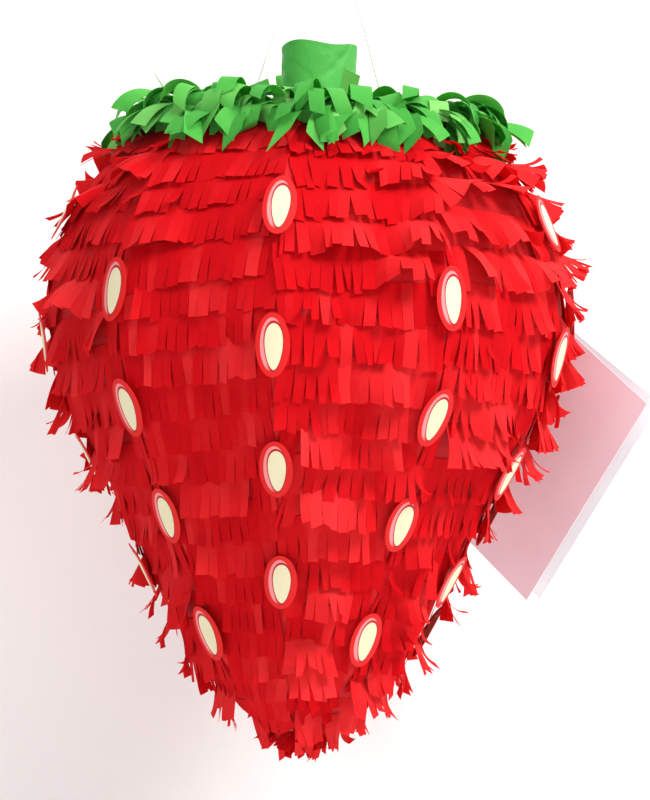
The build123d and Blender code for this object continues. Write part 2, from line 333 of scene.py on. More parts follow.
@dataclass(frozen=True)
class Tissue(Finish):
    """Dyed tissue: matt, finely wrinkled, and it lets light through."""

    # The deep and pale colours are painted shade and painted highlight: darker and lighter copies
    # of the plain colour, which each strip's shade number picks between.
    deep: Colour = (0.46, 0.002, 0.006)
    plain: Colour = (0.70, 0.005, 0.010)
    pale: Colour = (0.93, 0.040, 0.045)
    glow: Colour = (0.95, 0.012, 0.012)
    passing: float = 0.28
    clouding: float = 0.35
    relief: float = 0.35

    def material(self) -> bpy.types.Material:
        """Writes the material, whose colour runs from a painted-shade copy of the tissue's colour
        through the plain one to a painted-highlight copy, by each strip's shade number.

        Returns:
            The material.
        """
        material, graph, shader, output = self.start()
        height, cloud = self.grain(graph, Fibre_scale=1400.0, Crease_scale=75.0, Cloud_scale=38.0)
        tone = graph.attribute("shade") + (cloud - 0.5) * self.clouding
        # Below the middle of the shade number the colour moves towards the painted shade, above it
        # towards the painted highlight.
        low = graph.mix(graph.spread(tone, 0.0, 0.5, False), self.deep, self.plain)
        colour = graph.mix(graph.spread(tone, 0.5, 1.0, False), low, self.pale)
        graph.put(shader.inputs["Base Color"], colour)
        normal = graph.bump(height, self.relief, 0.5 * MM)
        graph.put(shader.inputs["Normal"], normal)
        through = graph.add("ShaderNodeBsdfTranslucent", {"Color": (*self.glow, 1.0)})
        graph.put(through.inputs["Normal"], normal)
        both = graph.add(
            "ShaderNodeMixShader",
            {0: self.passing, 1: shader.outputs[0], 2: through.outputs[0]},
        )
        graph.put(output.inputs["Surface"], both.outputs[0])
        return material


@dataclass(frozen=True)
class Card(Finish):
    """Board or heavy paper of one colour, with its fibres and faint creases."""

    base: Colour = (0.45, 0.29, 0.16)
    dark: Colour = (0.33, 0.20, 0.10)
    facing: Colour | None = None
    fibre: float = 700.0
    crease: float = 40.0
    relief: float = 0.15
    flute: float = 0.0
    facing_shade: float = 0.7

    def material(self) -> bpy.types.Material:
        """Writes the material; a faced board has its facing on its outer side.

        Returns:
            The material.
        """
        material, graph, shader, _ = self.start()
        height, cloud = self.grain(graph, Fibre_scale=self.fibre, Crease_scale=self.crease)
        speck = graph.noise(graph.coordinates(), self.fibre * 1.7, 1.0)
        share = graph.spread(cloud * 0.6 + speck * 0.4, 0.3, 0.7)
        colour = graph.mix(share, self.dark, self.base)
        if self.flute:
            _, _, rise = graph.parts(graph.coordinates())
            ribs = graph.math("SINE", rise * (2 * math.pi / self.flute))
            colour = graph.mix(graph.spread(ribs, -1.0, 1.0) * 0.18, colour, self.dark)
            height = height + ribs * 0.5
        if self.facing:
            geometry = graph.add("ShaderNodeNewGeometry")
            outwards = graph.vector_math("MULTIPLY", graph.coordinates(), (1.0, 1.0, 0.0))
            outwards = graph.vector_math("NORMALIZE", outwards)
            lean = graph.vector_math("DOT_PRODUCT", graph.field(geometry, "Normal", True), outwards)
            shown = graph.mix(share, tuple(self.facing_shade * c for c in self.facing), self.facing)
            colour = graph.mix(graph.spread(lean, 0.2, 0.3), colour, shown)
        graph.put(shader.inputs["Base Color"], colour)
        graph.put(shader.inputs["Normal"], graph.bump(height, self.relief, 0.6 * MM))
        return material


@dataclass(frozen=True)
class SeedPrint(Finish):
    """The seed's print: a red rim, a pale crescent, a thin dark line and a cream kernel."""

    rim: Colour = (0.70, 0.012, 0.012)
    crescent: Colour = (0.82, 0.27, 0.29)
    line: Colour = (0.46, 0.012, 0.020)
    kernel: Colour = (0.78, 0.73, 0.49)
    stain: Colour = (0.55, 0.42, 0.25)

    def material(self) -> bpy.types.Material:
        """Writes the material, drawn on the seed's own UV map.

        Returns:
            The material.
        """
        material, graph, shader, _ = self.start()
        across, along, _ = graph.parts(graph.coordinates("UV") * 2.0 - (1.0, 1.0, 0.0))
        kernel_x, kernel_y = across - 0.07, along + 0.05
        taper = kernel_y * 0.16 + 0.52
        kernel = self._oval(graph, kernel_x / taper, kernel_y / 0.72)
        moon = self._oval(graph, (across + 0.03) / 0.70, (along - 0.01) / 0.83)
        side = graph.spread(along * 0.5 - across, -0.45, 0.15)
        in_moon = graph.spread(moon, 1.03, 0.97) * side
        height, cloud = self.grain(graph, Fibre_scale=1500.0, Crease_scale=30.0)
        colour = graph.mix(in_moon, self.rim, self.crescent)
        colour = graph.mix(graph.spread(kernel, 1.28, 1.20), colour, self.line)
        colour = graph.mix(graph.spread(kernel, 1.02, 0.96), colour, self.kernel)
        colour = graph.mix((cloud - 0.35) * 0.12, colour, self.stain, "MULTIPLY")
        graph.put(shader.inputs["Base Color"], colour)
        graph.put(shader.inputs["Normal"], graph.bump(height, 0.06, 0.3 * MM))
        return material

    @staticmethod
    def _oval(graph: Graph, across: Field, along: Field) -> Field:
        """A value that is 1 along an oval's rim."""
        return graph.math("POWER", across, 2.0) + graph.math("POWER", along, 2.0)


@dataclass(frozen=True)
class Thread(Finish):
    """Pale twisted thread."""

    base: Colour = (0.96, 0.96, 0.95)
    # The darker colour is painted shade in the grooves between the plies.
    painted_groove_shade: Colour = (0.84, 0.83, 0.81)
    pitch: float = 0.0022

    def material(self) -> bpy.types.Material:
        """Writes the material, whose lay winds down the thread, with painted shade in the grooves
        between its plies.

        Returns:
            The material.
        """
        material, graph, shader, _ = self.start()
        along, sideways, rise = graph.parts(graph.coordinates())
        turn = (rise + (along + sideways) * 0.8) * (2 * math.pi / self.pitch)
        lay = graph.spread(graph.math("SINE", turn), -1.0, 1.0)
        fuzz = graph.noise(graph.coordinates(), 3000.0, 1.0)
        graph.put(shader.inputs["Base Color"], graph.mix(lay, self.painted_groove_shade, self.base))
        graph.put(shader.inputs["Normal"], graph.bump(lay + fuzz * 0.3, 0.5, 0.2 * MM))
        return material


RED_TISSUE = Tissue("red tissue", "red_tissue", roughness=0.8, specular=0.06)
GREEN_TISSUE = Tissue(
    "green tissue",
    "green_tissue",
    roughness=0.65,
    specular=0.2,
    deep=(0.010, 0.16, 0.018),
    plain=(0.085, 0.49, 0.070),
    pale=(0.32, 0.74, 0.20),
    glow=(0.16, 0.78, 0.07),
    passing=0.25,
)
PANEL_BOARD = Card(
    "faced board", "corrugated_card", facing=(0.60, 0.007, 0.012), flute=0.0065, relief=0.2
)
BROWN_BOARD = Card("brown board", "corrugated_card", flute=0.0065, relief=0.2)
TISSUE_FACED_BOARD = Card(
    "tissue-faced board",
    "corrugated_card",
    base=(0.50, 0.008, 0.014),
    dark=(0.36, 0.004, 0.008),
    relief=0.3,
)
TUBE_BOARD = Card("tube board", "tube_card", base=(0.50, 0.36, 0.22), dark=(0.38, 0.26, 0.15))
RED_TAPE = Card(
    "ridge tape", "paper_tape", base=(0.70, 0.010, 0.016), dark=(0.56, 0.006, 0.010), relief=0.1
)
SEED_PRINT = SeedPrint("seed print", "seed_card", roughness=0.6, specular=0.2)
GREEN_PAPER = Card(
    "green paper",
    "green_paper",
    roughness=0.6,
    specular=0.35,
    base=(0.095, 0.50, 0.085),
    dark=(0.055, 0.38, 0.055),
    fibre=1000.0,
    crease=70.0,
    relief=0.6,
)
LABEL_CARD = Card(
    "pink label card",
    "label_card",
    roughness=0.5,
    specular=0.4,
    base=(0.95, 0.82, 0.90),
    dark=(0.92, 0.77, 0.86),
    fibre=1600.0,
    crease=9.0,
    relief=0.05,
)
COVER_CARD = replace(
    LABEL_CARD, name="white label card", base=(0.97, 0.97, 0.97), dark=(0.94, 0.93, 0.95)
)
NYLON = Card(
    "clear nylon",
    "nylon",
    roughness=0.3,
    specular=0.5,
    base=(0.78, 0.78, 0.80),
    dark=(0.68, 0.68, 0.70),
    fibre=400.0,
    relief=0.05,
)
THREAD = Thread("white thread", "string", roughness=0.7, specular=0.2)


def dress(piece: bpy.types.Object, finish: Finish) -> None:
    """Gives a piece one finish, made once and shared, in place of its own.

    Args:
        piece: A mesh or curve object.
        finish: The finish, whose slot the record lists.
    """
    piece.data.materials.clear()
    piece.data.materials.append(finish.shared())


# ------------------------------------------------------------------ mesh helpers


def rings_mesh(name: str, grid: np.ndarray) -> bpy.types.Mesh:
    """Makes a smooth mesh from closed rings of points.

    Args:
        name: The mesh's name.
        grid: Points as rings by points by 3.

    Returns:
        The mesh, which faces the side from which points run right and rings run down.
    """
    rows, columns = grid.shape[:2]
    numbers = np.arange(rows * columns).reshape(rows, columns)
    numbers = np.hstack([numbers, numbers[:, :1]])
    corners = (numbers[:-1, :-1], numbers[1:, :-1], numbers[1:, 1:], numbers[:-1, 1:])
    faces = np.stack([c.ravel() for c in corners], axis=1)
    mesh = bpy.data.meshes.new(name)
    mesh.from_pydata(grid.reshape(-1, 3).tolist(), [], faces.tolist())
    mesh.shade_smooth()
    return mesh


def set_numbers(mesh: bpy.types.Mesh, values: Arrays) -> None:
    """Stores numbers or vectors on a mesh's points.

    Args:
        mesh: The mesh.
        values: Arrays by name, one row for each point.
    """
    for name, array in values.items():
        kind, key = ("FLOAT_VECTOR", "vector") if array.ndim == 2 else ("FLOAT", "value")
        layer = mesh.attributes.new(name, kind, "POINT")
        layer.data.foreach_set(key, array.astype(np.float32).ravel())


def place(name: str, data: bpy.types.ID) -> bpy.types.Object:
    """Puts a mesh, curve, lamp or camera into the scene as an object at the origin.

    Args:
        name: The object's name.
        data: What it shows.

    Returns:
        The object.
    """
    piece = bpy.data.objects.new(name, data)
    bpy.context.scene.collection.objects.link(piece)
    return piece


def settled(piece: bpy.types.Object, name: str) -> bpy.types.Object:
    """Replaces an object by the plain mesh that its modifiers make, with crisp paper edges.

    Args:
        piece: The object, which is removed.
        name: The new object's name.

    Returns:
        The new object.
    """
    bpy.context.view_layer.update()
    graph = bpy.context.evaluated_depsgraph_get()
    mesh = bpy.data.meshes.new_from_object(
        piece.evaluated_get(graph), preserve_all_data_layers=True, depsgraph=graph
    )
    bpy.data.objects.remove(piece)
    mesh.name = name
    mesh.shade_smooth()
    mesh.set_sharp_from_angle(angle=CRISP_ANGLE)
    return place(name, mesh)


def thickened(piece: bpy.types.Object, thickness: float) -> None:
    """Gives a single sheet its paper's thickness.

    Args:
        piece: The sheet.
        thickness: Metres, half to each side.
    """
    solid = piece.modifiers.new("thickness", "SOLIDIFY")
    solid.thickness = thickness
    solid.offset = 0.0


def finish_piece(piece: bpy.types.Object, finish: Finish, body: str, node: str) -> None:
    """Dresses a piece, sets it riding and lets it stand for its CAD node.

    Args:
        piece: The piece.
        finish: Its finish.
        body: The body that it moves with.
        node: The CAD node that it replaces.
    """
    dress(piece, finish)
    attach(piece, body)
    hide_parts(node)
    LOG.info("%s: %s in place of %s, on %s", piece.name, finish.name, node, body)


# ------------------------------------------------------------------ the card shell's surface


@dataclass
class Skin:
    """The card shell's outer surface, read from the first packed panel."""

    panel_count: int = 10
    samples: int = 320
    edge: float = 0.2 * MM
    probe_from: float = 400 * MM
    bend_span: float = 4 * MM
    first_turn: float = field(init=False)
    apothem: np.ndarray = field(init=False)
    height: np.ndarray = field(init=False)
    along: np.ndarray = field(init=False)

    def __post_init__(self) -> None:
        """Probes the panel's middle line from outside."""
        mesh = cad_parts["panel_01"].data
        points = np.array([v.co for v in mesh.vertices])
        self.first_turn = self._middle_turn(points)
        outward = self.outward(0)
        tree = BVHTree.FromPolygons(
            [v.co for v in mesh.vertices], [tuple(p.vertices) for p in mesh.polygons]
        )
        top, low = points[:, 2].max() - self.edge, points[:, 2].min() + self.edge
        found = []
        for rise in np.linspace(top, low, self.samples):
            start = Vector(outward * self.probe_from) + Vector((0, 0, rise))
            hit = tree.ray_cast(start, Vector(-outward))[0]
            if hit is not None:
                found.append((float(np.dot(hit, outward)), rise))
        self.apothem, self.height = np.array(found).T
        steps = np.hypot(np.diff(self.apothem), np.diff(self.height))
        self.along = np.concatenate([[0.0], np.cumsum(steps)])

    @staticmethod
    def _middle_turn(points: np.ndarray) -> float:
        """Finds the direction halfway between the panel's two edges.

        Args:
            points: The panel's points.

        Returns:
            The direction about the axis, in radians.
        """
        middle = points.mean(0)
        guess = math.atan2(middle[1], middle[0])
        turns = np.arctan2(points[:, 1], points[:, 0]) - guess
        far = np.hypot(points[:, 0], points[:, 1]) > 50 * MM
        turns = (turns[far] + math.pi) % (2 * math.pi) - math.pi
        return guess + (turns.min() + turns.max()) / 2

    @property
    def length(self) -> float:
        """How long the panel is, down its middle."""
        return float(self.along[-1])

    @property
    def half_turn(self) -> float:
        """Half a panel's angle about the axis."""
        return math.pi / self.panel_count

    def outward(self, panel: float) -> np.ndarray:
        """Level direction of a panel's middle; halves are ridges."""
        turn = self.first_turn + panel * 2 * self.half_turn
        return np.array((math.cos(turn), math.sin(turn), 0.0))

    def half_width(self, along: float) -> float:
        """Half of the panel's width at a distance down it."""
        return float(np.interp(along, self.along, self.apothem)) * math.tan(self.half_turn)

    def axes(self, panel: float, along: float) -> tuple[np.ndarray, np.ndarray, float]:
        """Finds how the surface lies at a distance down a panel.

        Args:
            panel: The panel's number, from 0.
            along: Metres down it.

        Returns:
            The ways down and out, and the bend per metre.
        """
        level = self.outward(panel)
        ends = np.clip((along - self.bend_span, along, along + self.bend_span), 0, self.length)
        reach = np.interp(ends, self.along, self.apothem)
        rise = np.interp(ends, self.along, self.height)
        before = np.array((reach[1] - reach[0], rise[1] - rise[0]))
        after = np.array((reach[2] - reach[1], rise[2] - rise[1]))
        whole = before + after
        whole /= np.linalg.norm(whole)
        turn = math.atan2(before[1], before[0]) - math.atan2(after[1], after[0])
        down = whole[0] * level + whole[1] * UP
        out = -whole[1] * level + whole[0] * UP
        inside = self.bend_span < along < self.length - self.bend_span
        bend = abs(turn) / self.bend_span if inside else 0.0
        return down, out, bend

    def point(self, panel: float, across: float, along: float) -> np.ndarray:
        """Finds a point on the card's outer face.

        Args:
            panel: The panel's number, from 0.
            across: Metres right of its middle.
            along: Metres down it.

        Returns:
            The point.
        """
        level = self.outward(panel)
        reach = float(np.interp(along, self.along, self.apothem))
        rise = float(np.interp(along, self.along, self.height))
        return level * reach + UP * rise + np.cross(-level, UP) * across

    def along_at(self, height: float) -> float:
        """Distance down a panel at a height."""
        return float(np.interp(-height, -self.height, self.along))


# ------------------------------------------------------------------ cut paper strips


PLAIN_STRIP = {"bend": 0.0, "twist": 0.0, "lean": 0.0, "long": 1.0, "skew": 0.0, "shade": 0.5}
STRIP_FLOATS = ("slope_left", "slope_right", "curl", *PLAIN_STRIP)
STRIP_VECTORS = ("left", "right", "down", "out")


@dataclass
class StripRule:
    """Geometry nodes that grow one strip of paper from each point.

    Each point carries the strip's two top corners, the ways down and out, the slope at which each
    side leaves the surface, and how its cut part curls, twists and leans.
    """

    columns: int = 3
    rows: int = 9
    weld: float = 0.02 * MM
    flutter_scale: float = 70.0
    cut_start: float = 0.3

    def tree(self) -> bpy.types.NodeTree:
        """Makes the tree for this many columns and rows, once.

        Returns:
            The tree.
        """
        name = f"cut strips {self.columns} by {self.rows}"
        if name in bpy.data.node_groups:
            return bpy.data.node_groups[name]
        tree = bpy.data.node_groups.new(name, "GeometryNodeTree")
        sockets = tree.interface
        sockets.new_socket("Points", in_out="INPUT", socket_type="NodeSocketGeometry")
        for socket in ("Band length", "Cut length", "Stand off", "Cut gap", "Flutter"):
            sockets.new_socket(socket, in_out="INPUT", socket_type="NodeSocketFloat")
        sockets.new_socket("Seed", in_out="INPUT", socket_type="NodeSocketInt")
        sockets.new_socket("Paper", in_out="INPUT", socket_type="NodeSocketMaterial")
        sockets.new_socket("Strips", in_out="OUTPUT", socket_type="NodeSocketGeometry")
        self._write(Graph(tree))
        return tree

    def _write(self, graph: Graph) -> None:
        """Writes the nodes.

        Args:
            graph: The empty tree's graph.
        """
        given = graph.add("NodeGroupInput")
        number = {s.name: graph.field(given, s.name) for s in given.outputs if s.name}
        blank = graph.add(
            "GeometryNodeMeshGrid",
            {"Size X": 1.0, "Size Y": 1.0, "Vertices X": self.columns, "Vertices Y": self.rows},
        )
        x, y, _ = graph.parts(graph.field(graph.add("GeometryNodeInputPosition"), 0, True))
        shape = blank.outputs["Mesh"]
        for name, value in (("across", x), ("along", 0.5 - y)):
            store = graph.add(
                "GeometryNodeStoreNamedAttribute",
                {"Geometry": shape, "Name": name, "Value": value},
                {"data_type": "FLOAT", "domain": "POINT"},
            )
            shape = store.outputs[0]
        inputs = {"Points": number["Points"], "Instance": shape}
        placed = graph.add("GeometryNodeInstanceOnPoints", inputs)
        real = graph.add("GeometryNodeRealizeInstances", {"Geometry": placed.outputs[0]})
        read = {}
        for name in ("across", "along", *STRIP_FLOATS, *STRIP_VECTORS):
            is_vector = name in STRIP_VECTORS
            kind = "FLOAT_VECTOR" if is_vector else "FLOAT"
            node = graph.add("GeometryNodeInputNamedAttribute", {"Name": name}, {"data_type": kind})
            read[name] = graph.field(node, 0, is_vector)
        position = self._position(graph, number, read)
        inputs = {"Geometry": real.outputs[0], "Position": position}
        moved = graph.add("GeometryNodeSetPosition", inputs)
        inputs = {"Geometry": moved.outputs[0], "Distance": self.weld}
        weld = graph.add("GeometryNodeMergeByDistance", inputs)
        last = graph.add("GeometryNodeRealizeInstances", {"Geometry": weld.outputs[0]})
        inputs = {"Geometry": last.outputs[0], "Material": number["Paper"]}
        paper = graph.add("GeometryNodeSetMaterial", inputs)
        graph.add("NodeGroupOutput", {"Strips": paper.outputs[0]})

    def _position(self, graph: Graph, number: dict[str, Field], read: dict[str, Field]) -> Field:
        """Works out where each point of a strip goes.

        Args:
            graph: The tree's graph.
            number: The sheet's shared sizes, by socket name.
            read: Each strip's own numbers, by attribute name.

        Returns:
            The position.
        """
        across, along = read["across"], read["along"]
        band, cut = number["Band length"], number["Cut length"]
        reach = along * (band + cut)
        free = graph.math("MAXIMUM", reach - band, 0.0)
        loose = graph.math("DIVIDE", free, cut)
        free = free * read["long"] + across * read["skew"] * free
        held = graph.math("MINIMUM", reach, band)
        run = held + free
        curl = read["curl"]
        angle = curl * free
        forward = run + graph.math("SINE", angle) / curl - free
        lifted = (1.0 - graph.math("COSINE", angle)) / curl - read["bend"] * run * run * 0.5
        slope = read["slope_left"] * (0.5 - across) + read["slope_right"] * (across + 0.5)
        sine, cosine = graph.math("SINE", slope), graph.math("COSINE", slope)
        down = forward * cosine - lifted * sine
        stir = graph.add(
            "ShaderNodeTexNoise",
            {
                "Vector": read["left"] + read["down"] * reach,
                "Scale": self.flutter_scale,
                "W": number["Seed"],
            },
            {"noise_dimensions": "4D"},
        )
        flutter = (graph.field(stir) - 0.5) * number["Flutter"] * along
        out = number["Stand off"] + forward * sine + lifted * cosine
        turn = read["twist"] * loose
        opened = 1.0 - number["Cut gap"] * graph.spread(loose, 0.0, self.cut_start)
        share = across * opened
        width = read["right"] - read["left"]
        wide = graph.vector_math("LENGTH", width)
        sideways = graph.vector_math("NORMALIZE", width)
        root = read["left"] + width * (share * graph.math("COSINE", turn) + 0.5)
        edge = share * wide * graph.math("SINE", turn)
        return (
            root
            + sideways * (read["lean"] * free)
            + read["down"] * down
            + read["out"] * (out + edge + flutter * loose)
        )


@dataclass
class StripSheet:
    """Strips of one paper: the points that they grow from and the sizes they share."""

    name: str
    finish: Finish
    band: float
    cut: float
    rule: StripRule = field(default_factory=StripRule)
    stand_off: float = 0.5 * MM
    cut_gap: float = 0.08
    flutter: float = 1.0 * MM
    paper: float = 0.2 * MM
    seed: int = 1
    least_curl: float = 1.0
    points: dict[str, list] = field(default_factory=dict)

    def strip(self, **values: object) -> None:
        """Adds one strip; numbers that it leaves out are plain.

        Args:
            **values: The strip's numbers and ways, by the names that the rule reads.
        """
        if abs(values["curl"]) <= self.least_curl:
            values["curl"] = self.least_curl
        for name, value in (PLAIN_STRIP | values).items():
            self.points.setdefault(name, []).append(value)

    def build(self) -> bpy.types.Object:
        """Grows the strips.

        Returns:
            The strips as one plain mesh.
        """
        arrays = {name: np.array(values) for name, values in self.points.items()}
        mesh = bpy.data.meshes.new(self.name + "_points")
        middles = (arrays["left"] + arrays["right"]) / 2
        mesh.from_pydata(middles.tolist(), [], [])
        set_numbers(mesh, arrays)
        piece = place(self.name + "_points", mesh)
        grow = piece.modifiers.new("strips", "NODES")
        grow.node_group = self.rule.tree()
        sizes = {
            "Band length": self.band,
            "Cut length": self.cut,
            "Stand off": self.stand_off,
            "Cut gap": self.cut_gap,
            "Flutter": self.flutter,
            "Seed": self.seed,
            "Paper": self.finish.shared(),
        }
        for item in grow.node_group.interface.items_tree:
            if item.item_type == "SOCKET" and item.name in sizes:
                grow[item.identifier] = sizes[item.name]
        thickened(piece, self.paper)
        return settled(piece, self.name)


# ------------------------------------------------------------------ red fringe


class Temper(Enum):
    """How well a panel's strips lie."""

    CALM = "calm"
    RUFFLED = "ruffled"
    WILD = "wild"


@dataclass(frozen=True)
class Lay:
    """How one temper's strips lie: slopes and angles in radians, curls per metre."""

    swell: float
    peels: float
    peel_slope: float
    curl: float
    curl_spread: float
    flick: float
    lean: float
    twist: float


LAYS = {
    Temper.CALM: Lay(0.05, 0.9, 0.34, 0.0, 11.0, 0.04, 0.03, 0.08),
    Temper.RUFFLED: Lay(0.13, 1.6, 0.55, 4.0, 20.0, 0.09, 0.08, 0.22),
    Temper.WILD: Lay(0.18, 2.1, 0.65, 8.0, 26.0, 0.14, 0.12, 0.40),
}


@dataclass(frozen=True)
class Clearing:
    """A place where the strips leave the card bare: half a width and two distances down."""

    half_width: float
    start: float
    end: float
    above: float = 0.2 * MM
    below: float = 2.0 * MM

    def meets(self, reach: tuple[float, float]) -> bool:
        """Whether a strip between two distances down comes into it."""
        return reach[1] > self.start + self.above and reach[0] < self.end - self.below


@dataclass(frozen=True)
class SeedSpot:
    """A seed at a panel's ridge: which side, how far down, and half its height."""

    side: float
    along: float
    half_height: float


@dataclass
class Run:
    """What all the rows of one panel, or of the flap, share."""

    sheet: StripSheet
    panel: int
    lay: Lay
    chance: np.random.Generator
    seeds: list[SeedSpot] = field(default_factory=list)
    clearing: Clearing | None = None


@dataclass
class RedFringe:
    """Rows of cut tissue down the ten panels and over the fill flap.

    Lengths are in metres but for those named in mm, angles and slopes in radians, and curls per
    metre. The tempers and tilts are the panels' own, in order.
    """

    skin: Skin
    pitch: float = 19.2 * MM
    band: float = 9.6 * MM
    cut: float = 16.0 * MM
    tab_width: float = 5.6 * MM
    first: float = 1.0 * MM
    settle: float = 0.075
    droop: float = 34.0
    tucked: float = 8.0 * MM
    tucked_slope: float = 0.3
    pressed_slope: float = 0.08
    seed_reach: float = 13.0 * MM
    seed_margin: float = 0.3 * MM
    least_width: float = 1.0 * MM
    uneven: tuple[float, float] = (0.72, 1.28)
    overlap_mm: tuple[float, float] = (0.4, 2.4)
    row_shift: float = 1.1 * MM
    tilt_width: float = 40.0 * MM
    tilt_spread: float = 0.02
    sag: float = 1.2 * MM
    flick_curl: tuple[float, float] = (25.0, 75.0)
    slope_curl: float = -28.0
    pressed_curl: float = 2.0
    tab_length: tuple[float, float] = (0.88, 1.05)
    skew: float = 0.06
    tip_margin: float = 6.0 * MM
    tip_start: float = 0.62
    tip_ramp: float = 0.3
    tip_crowding: float = 0.32
    tip_raggedness: float = 3.2
    flap_gap: float = 1.0 * MM
    flap_crease_share: float = 0.35
    flap_overhang: float = 1.6 * MM
    flap_margin: float = 0.4 * MM
    flap_rows: int = 3
    flap_seed: int = 77
    first_seed: int = 40
    flap_panel: int = 5
    flap_nodes: tuple[str, str] = ("fill_flap", "flap_fringe")
    tempers: tuple[Temper, ...] = (
        Temper.RUFFLED,
        Temper.WILD,
        Temper.WILD,
        Temper.RUFFLED,
        Temper.RUFFLED,
        Temper.CALM,
        Temper.RUFFLED,
        Temper.WILD,
        Temper.RUFFLED,
        Temper.CALM,
    )
    tilts: tuple[float, ...] = (-0.02, -0.04, 0.03, 0.05, -0.05, 0.0, 0.04, -0.03, 0.07, 0.11)

    def build(self) -> None:
        """Builds the ten panels' fringe and the flap's."""
        flap_low, flap_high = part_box(self.flap_nodes[0])
        top, bottom = self.skin.along_at(flap_high.z), self.skin.along_at(flap_low.z)
        crease = self.skin.along_at(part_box(self.flap_nodes[1])[1].z) - top
        half = self._flap_half_width()
        clearing = Clearing(half + self.flap_gap, top - crease, bottom + self.flap_gap / 2)
        for panel in range(self.skin.panel_count):
            name = f"fringe_panel_{panel + 1:02d}"
            sheet = StripSheet(name, RED_TISSUE, self.band, self.cut, cut_gap=0.03, seed=panel)
            chance = np.random.default_rng(self.first_seed + panel)
            run = Run(sheet, panel, LAYS[self.tempers[panel]], chance, self._seeds(panel))
            start = self.first - self.pitch * (0.5 + 0.5 * math.sin(panel * 2.4))
            if panel == self.flap_panel:
                run.clearing = clearing
                length = self.band + self.cut
                rows = math.floor((clearing.start - length) / self.pitch)
                start = clearing.start - self.flap_overhang - length - rows * self.pitch
            self._cover(run, start)
            finish_piece(sheet.build(), RED_TISSUE, SHELL, f"red_fringe_{panel + 1:02d}")
        self._cover_flap(top + crease * self.flap_crease_share, bottom, half)

    def _flap_half_width(self) -> float:
        """Measures half the flap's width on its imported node.

        Returns:
            Metres.
        """
        right = np.cross(-self.skin.outward(self.flap_panel), UP)
        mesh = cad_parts[self.flap_nodes[0]].data
        return max(float(np.dot(v.co, right)) for v in mesh.vertices)

    def _seeds(self, panel: int) -> list[SeedSpot]:
        """Finds the seeds at a panel's two ridges.

        Args:
            panel: The panel's number, from 0.

        Returns:
            The seeds.
        """
        found = []
        for side, ridge in ((-1.0, panel), (1.0, (panel + 1) % self.skin.panel_count)):
            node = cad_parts[f"seeds_{ridge + 1:02d}"]
            for middle, half in seed_spans(node.data):
                found.append(SeedSpot(side, self.skin.along_at(middle), half))
        return found

    def _cover(self, run: Run, start: float) -> None:
        """Lays the rows of one panel, from under the calyx to the tip.

        Args:
            run: What the rows share.
            start: How far down the first row starts; it may be above the panel.
        """
        along, tone, chance = start, 0.5, run.chance
        while along < self.skin.length - self.tip_margin:
            lowest = along + 0.55 * (self.band + self.cut)
            half = self.skin.half_width(lowest) + chance.uniform(*self.overlap_mm) * MM
            tone = 0.5 * tone + chance.normal(0.25, 0.04)
            self._row(run, along, half, tone)
            shift = chance.normal(0.0, self.row_shift) if run.clearing is None else 0.0
            along += self.pitch * self._crowding(along) + shift

    def _crowding(self, along: float) -> float:
        """How much closer and shorter the rows are towards the tip."""
        share = max(0.0, along / self.skin.length - self.tip_start) / self.tip_ramp
        return 1.0 - self.tip_crowding * min(1.0, share)

    def _row(self, run: Run, along: float, half: float, tone: float) -> None:
        """Lays one row: a band glued down along its top, cut into tabs below.

        Args:
            run: What the panel's rows share.
            along: How far down the band's top is.
            half: Half the row's width.
            tone: The row's own shade, 0 to 1.
        """
        chance, lay, panel = run.chance, run.lay, run.panel
        count = max(2, round(2 * half / self.tab_width))
        steps = chance.uniform(*self.uneven, count)
        edges = (np.concatenate([[0.0], np.cumsum(steps)]) / steps.sum() * 2 - 1) * half
        down, out, bend = self.skin.axes(panel, along)
        tilt = self.tilts[panel] + chance.normal(0.0, self.tilt_spread)
        tilt *= min(1.0, half / self.tilt_width)
        sag = chance.normal(0.0, self.sag)
        tops = along - tilt * edges + sag * (edges / half) ** 2
        is_tucked = along <= self.tucked
        slopes = self._slopes(edges, half, lay, chance) * (self.tucked_slope if is_tucked else 1.0)
        shorter = self._crowding(along)
        ragged = 1.0 + self.tip_raggedness * (1.0 - shorter)
        under_side = max(0.0, -float(out[2]))
        drift = self._drift(edges, chance)
        for index in range(count):
            middle = (edges[index] + edges[index + 1]) / 2
            top = (tops[index] + tops[index + 1]) / 2
            reach = (top, top + self.band + self.cut)
            is_under = self._under_seed(middle, half, reach, run.seeds)
            span = self._span(run, edges[index : index + 2], reach, is_under)
            if span is None:
                continue
            pair = slopes[index : index + 2] * (self.pressed_slope if is_under else 1.0)
            loose = 0.75 * drift[index] + 0.4 * chance.normal()
            curl = lay.curl + lay.curl_spread * ragged * loose + self.droop * under_side
            if chance.random() < lay.flick * ragged and not is_tucked:
                curl += chance.uniform(*self.flick_curl)
            curl += self.slope_curl * float(np.mean(pair))
            run.sheet.strip(
                left=self.skin.point(panel, span[0], tops[index]),
                right=self.skin.point(panel, span[1], tops[index + 1]),
                down=down,
                out=out,
                slope_left=self.settle + pair[0],
                slope_right=self.settle + pair[1],
                bend=bend,
                curl=min(curl, self.pressed_curl) if is_under else curl,
                twist=0.0 if is_under else chance.normal(0.0, lay.twist * ragged),
                lean=lay.lean * ragged * (1.2 * drift[-1 - index] + 0.5 * chance.normal()),
                long=chance.uniform(*self.tab_length) * shorter,
                skew=chance.normal(0.0, self.skew),
                # A tab's shade number: the row's random tone and a slow drift, plus painted light
                # that makes standing tabs paler.
                shade=float(np.clip(tone + 0.05 * drift[index] + self._paling_and_painted_light(chance, pair), 0, 1)),
            )

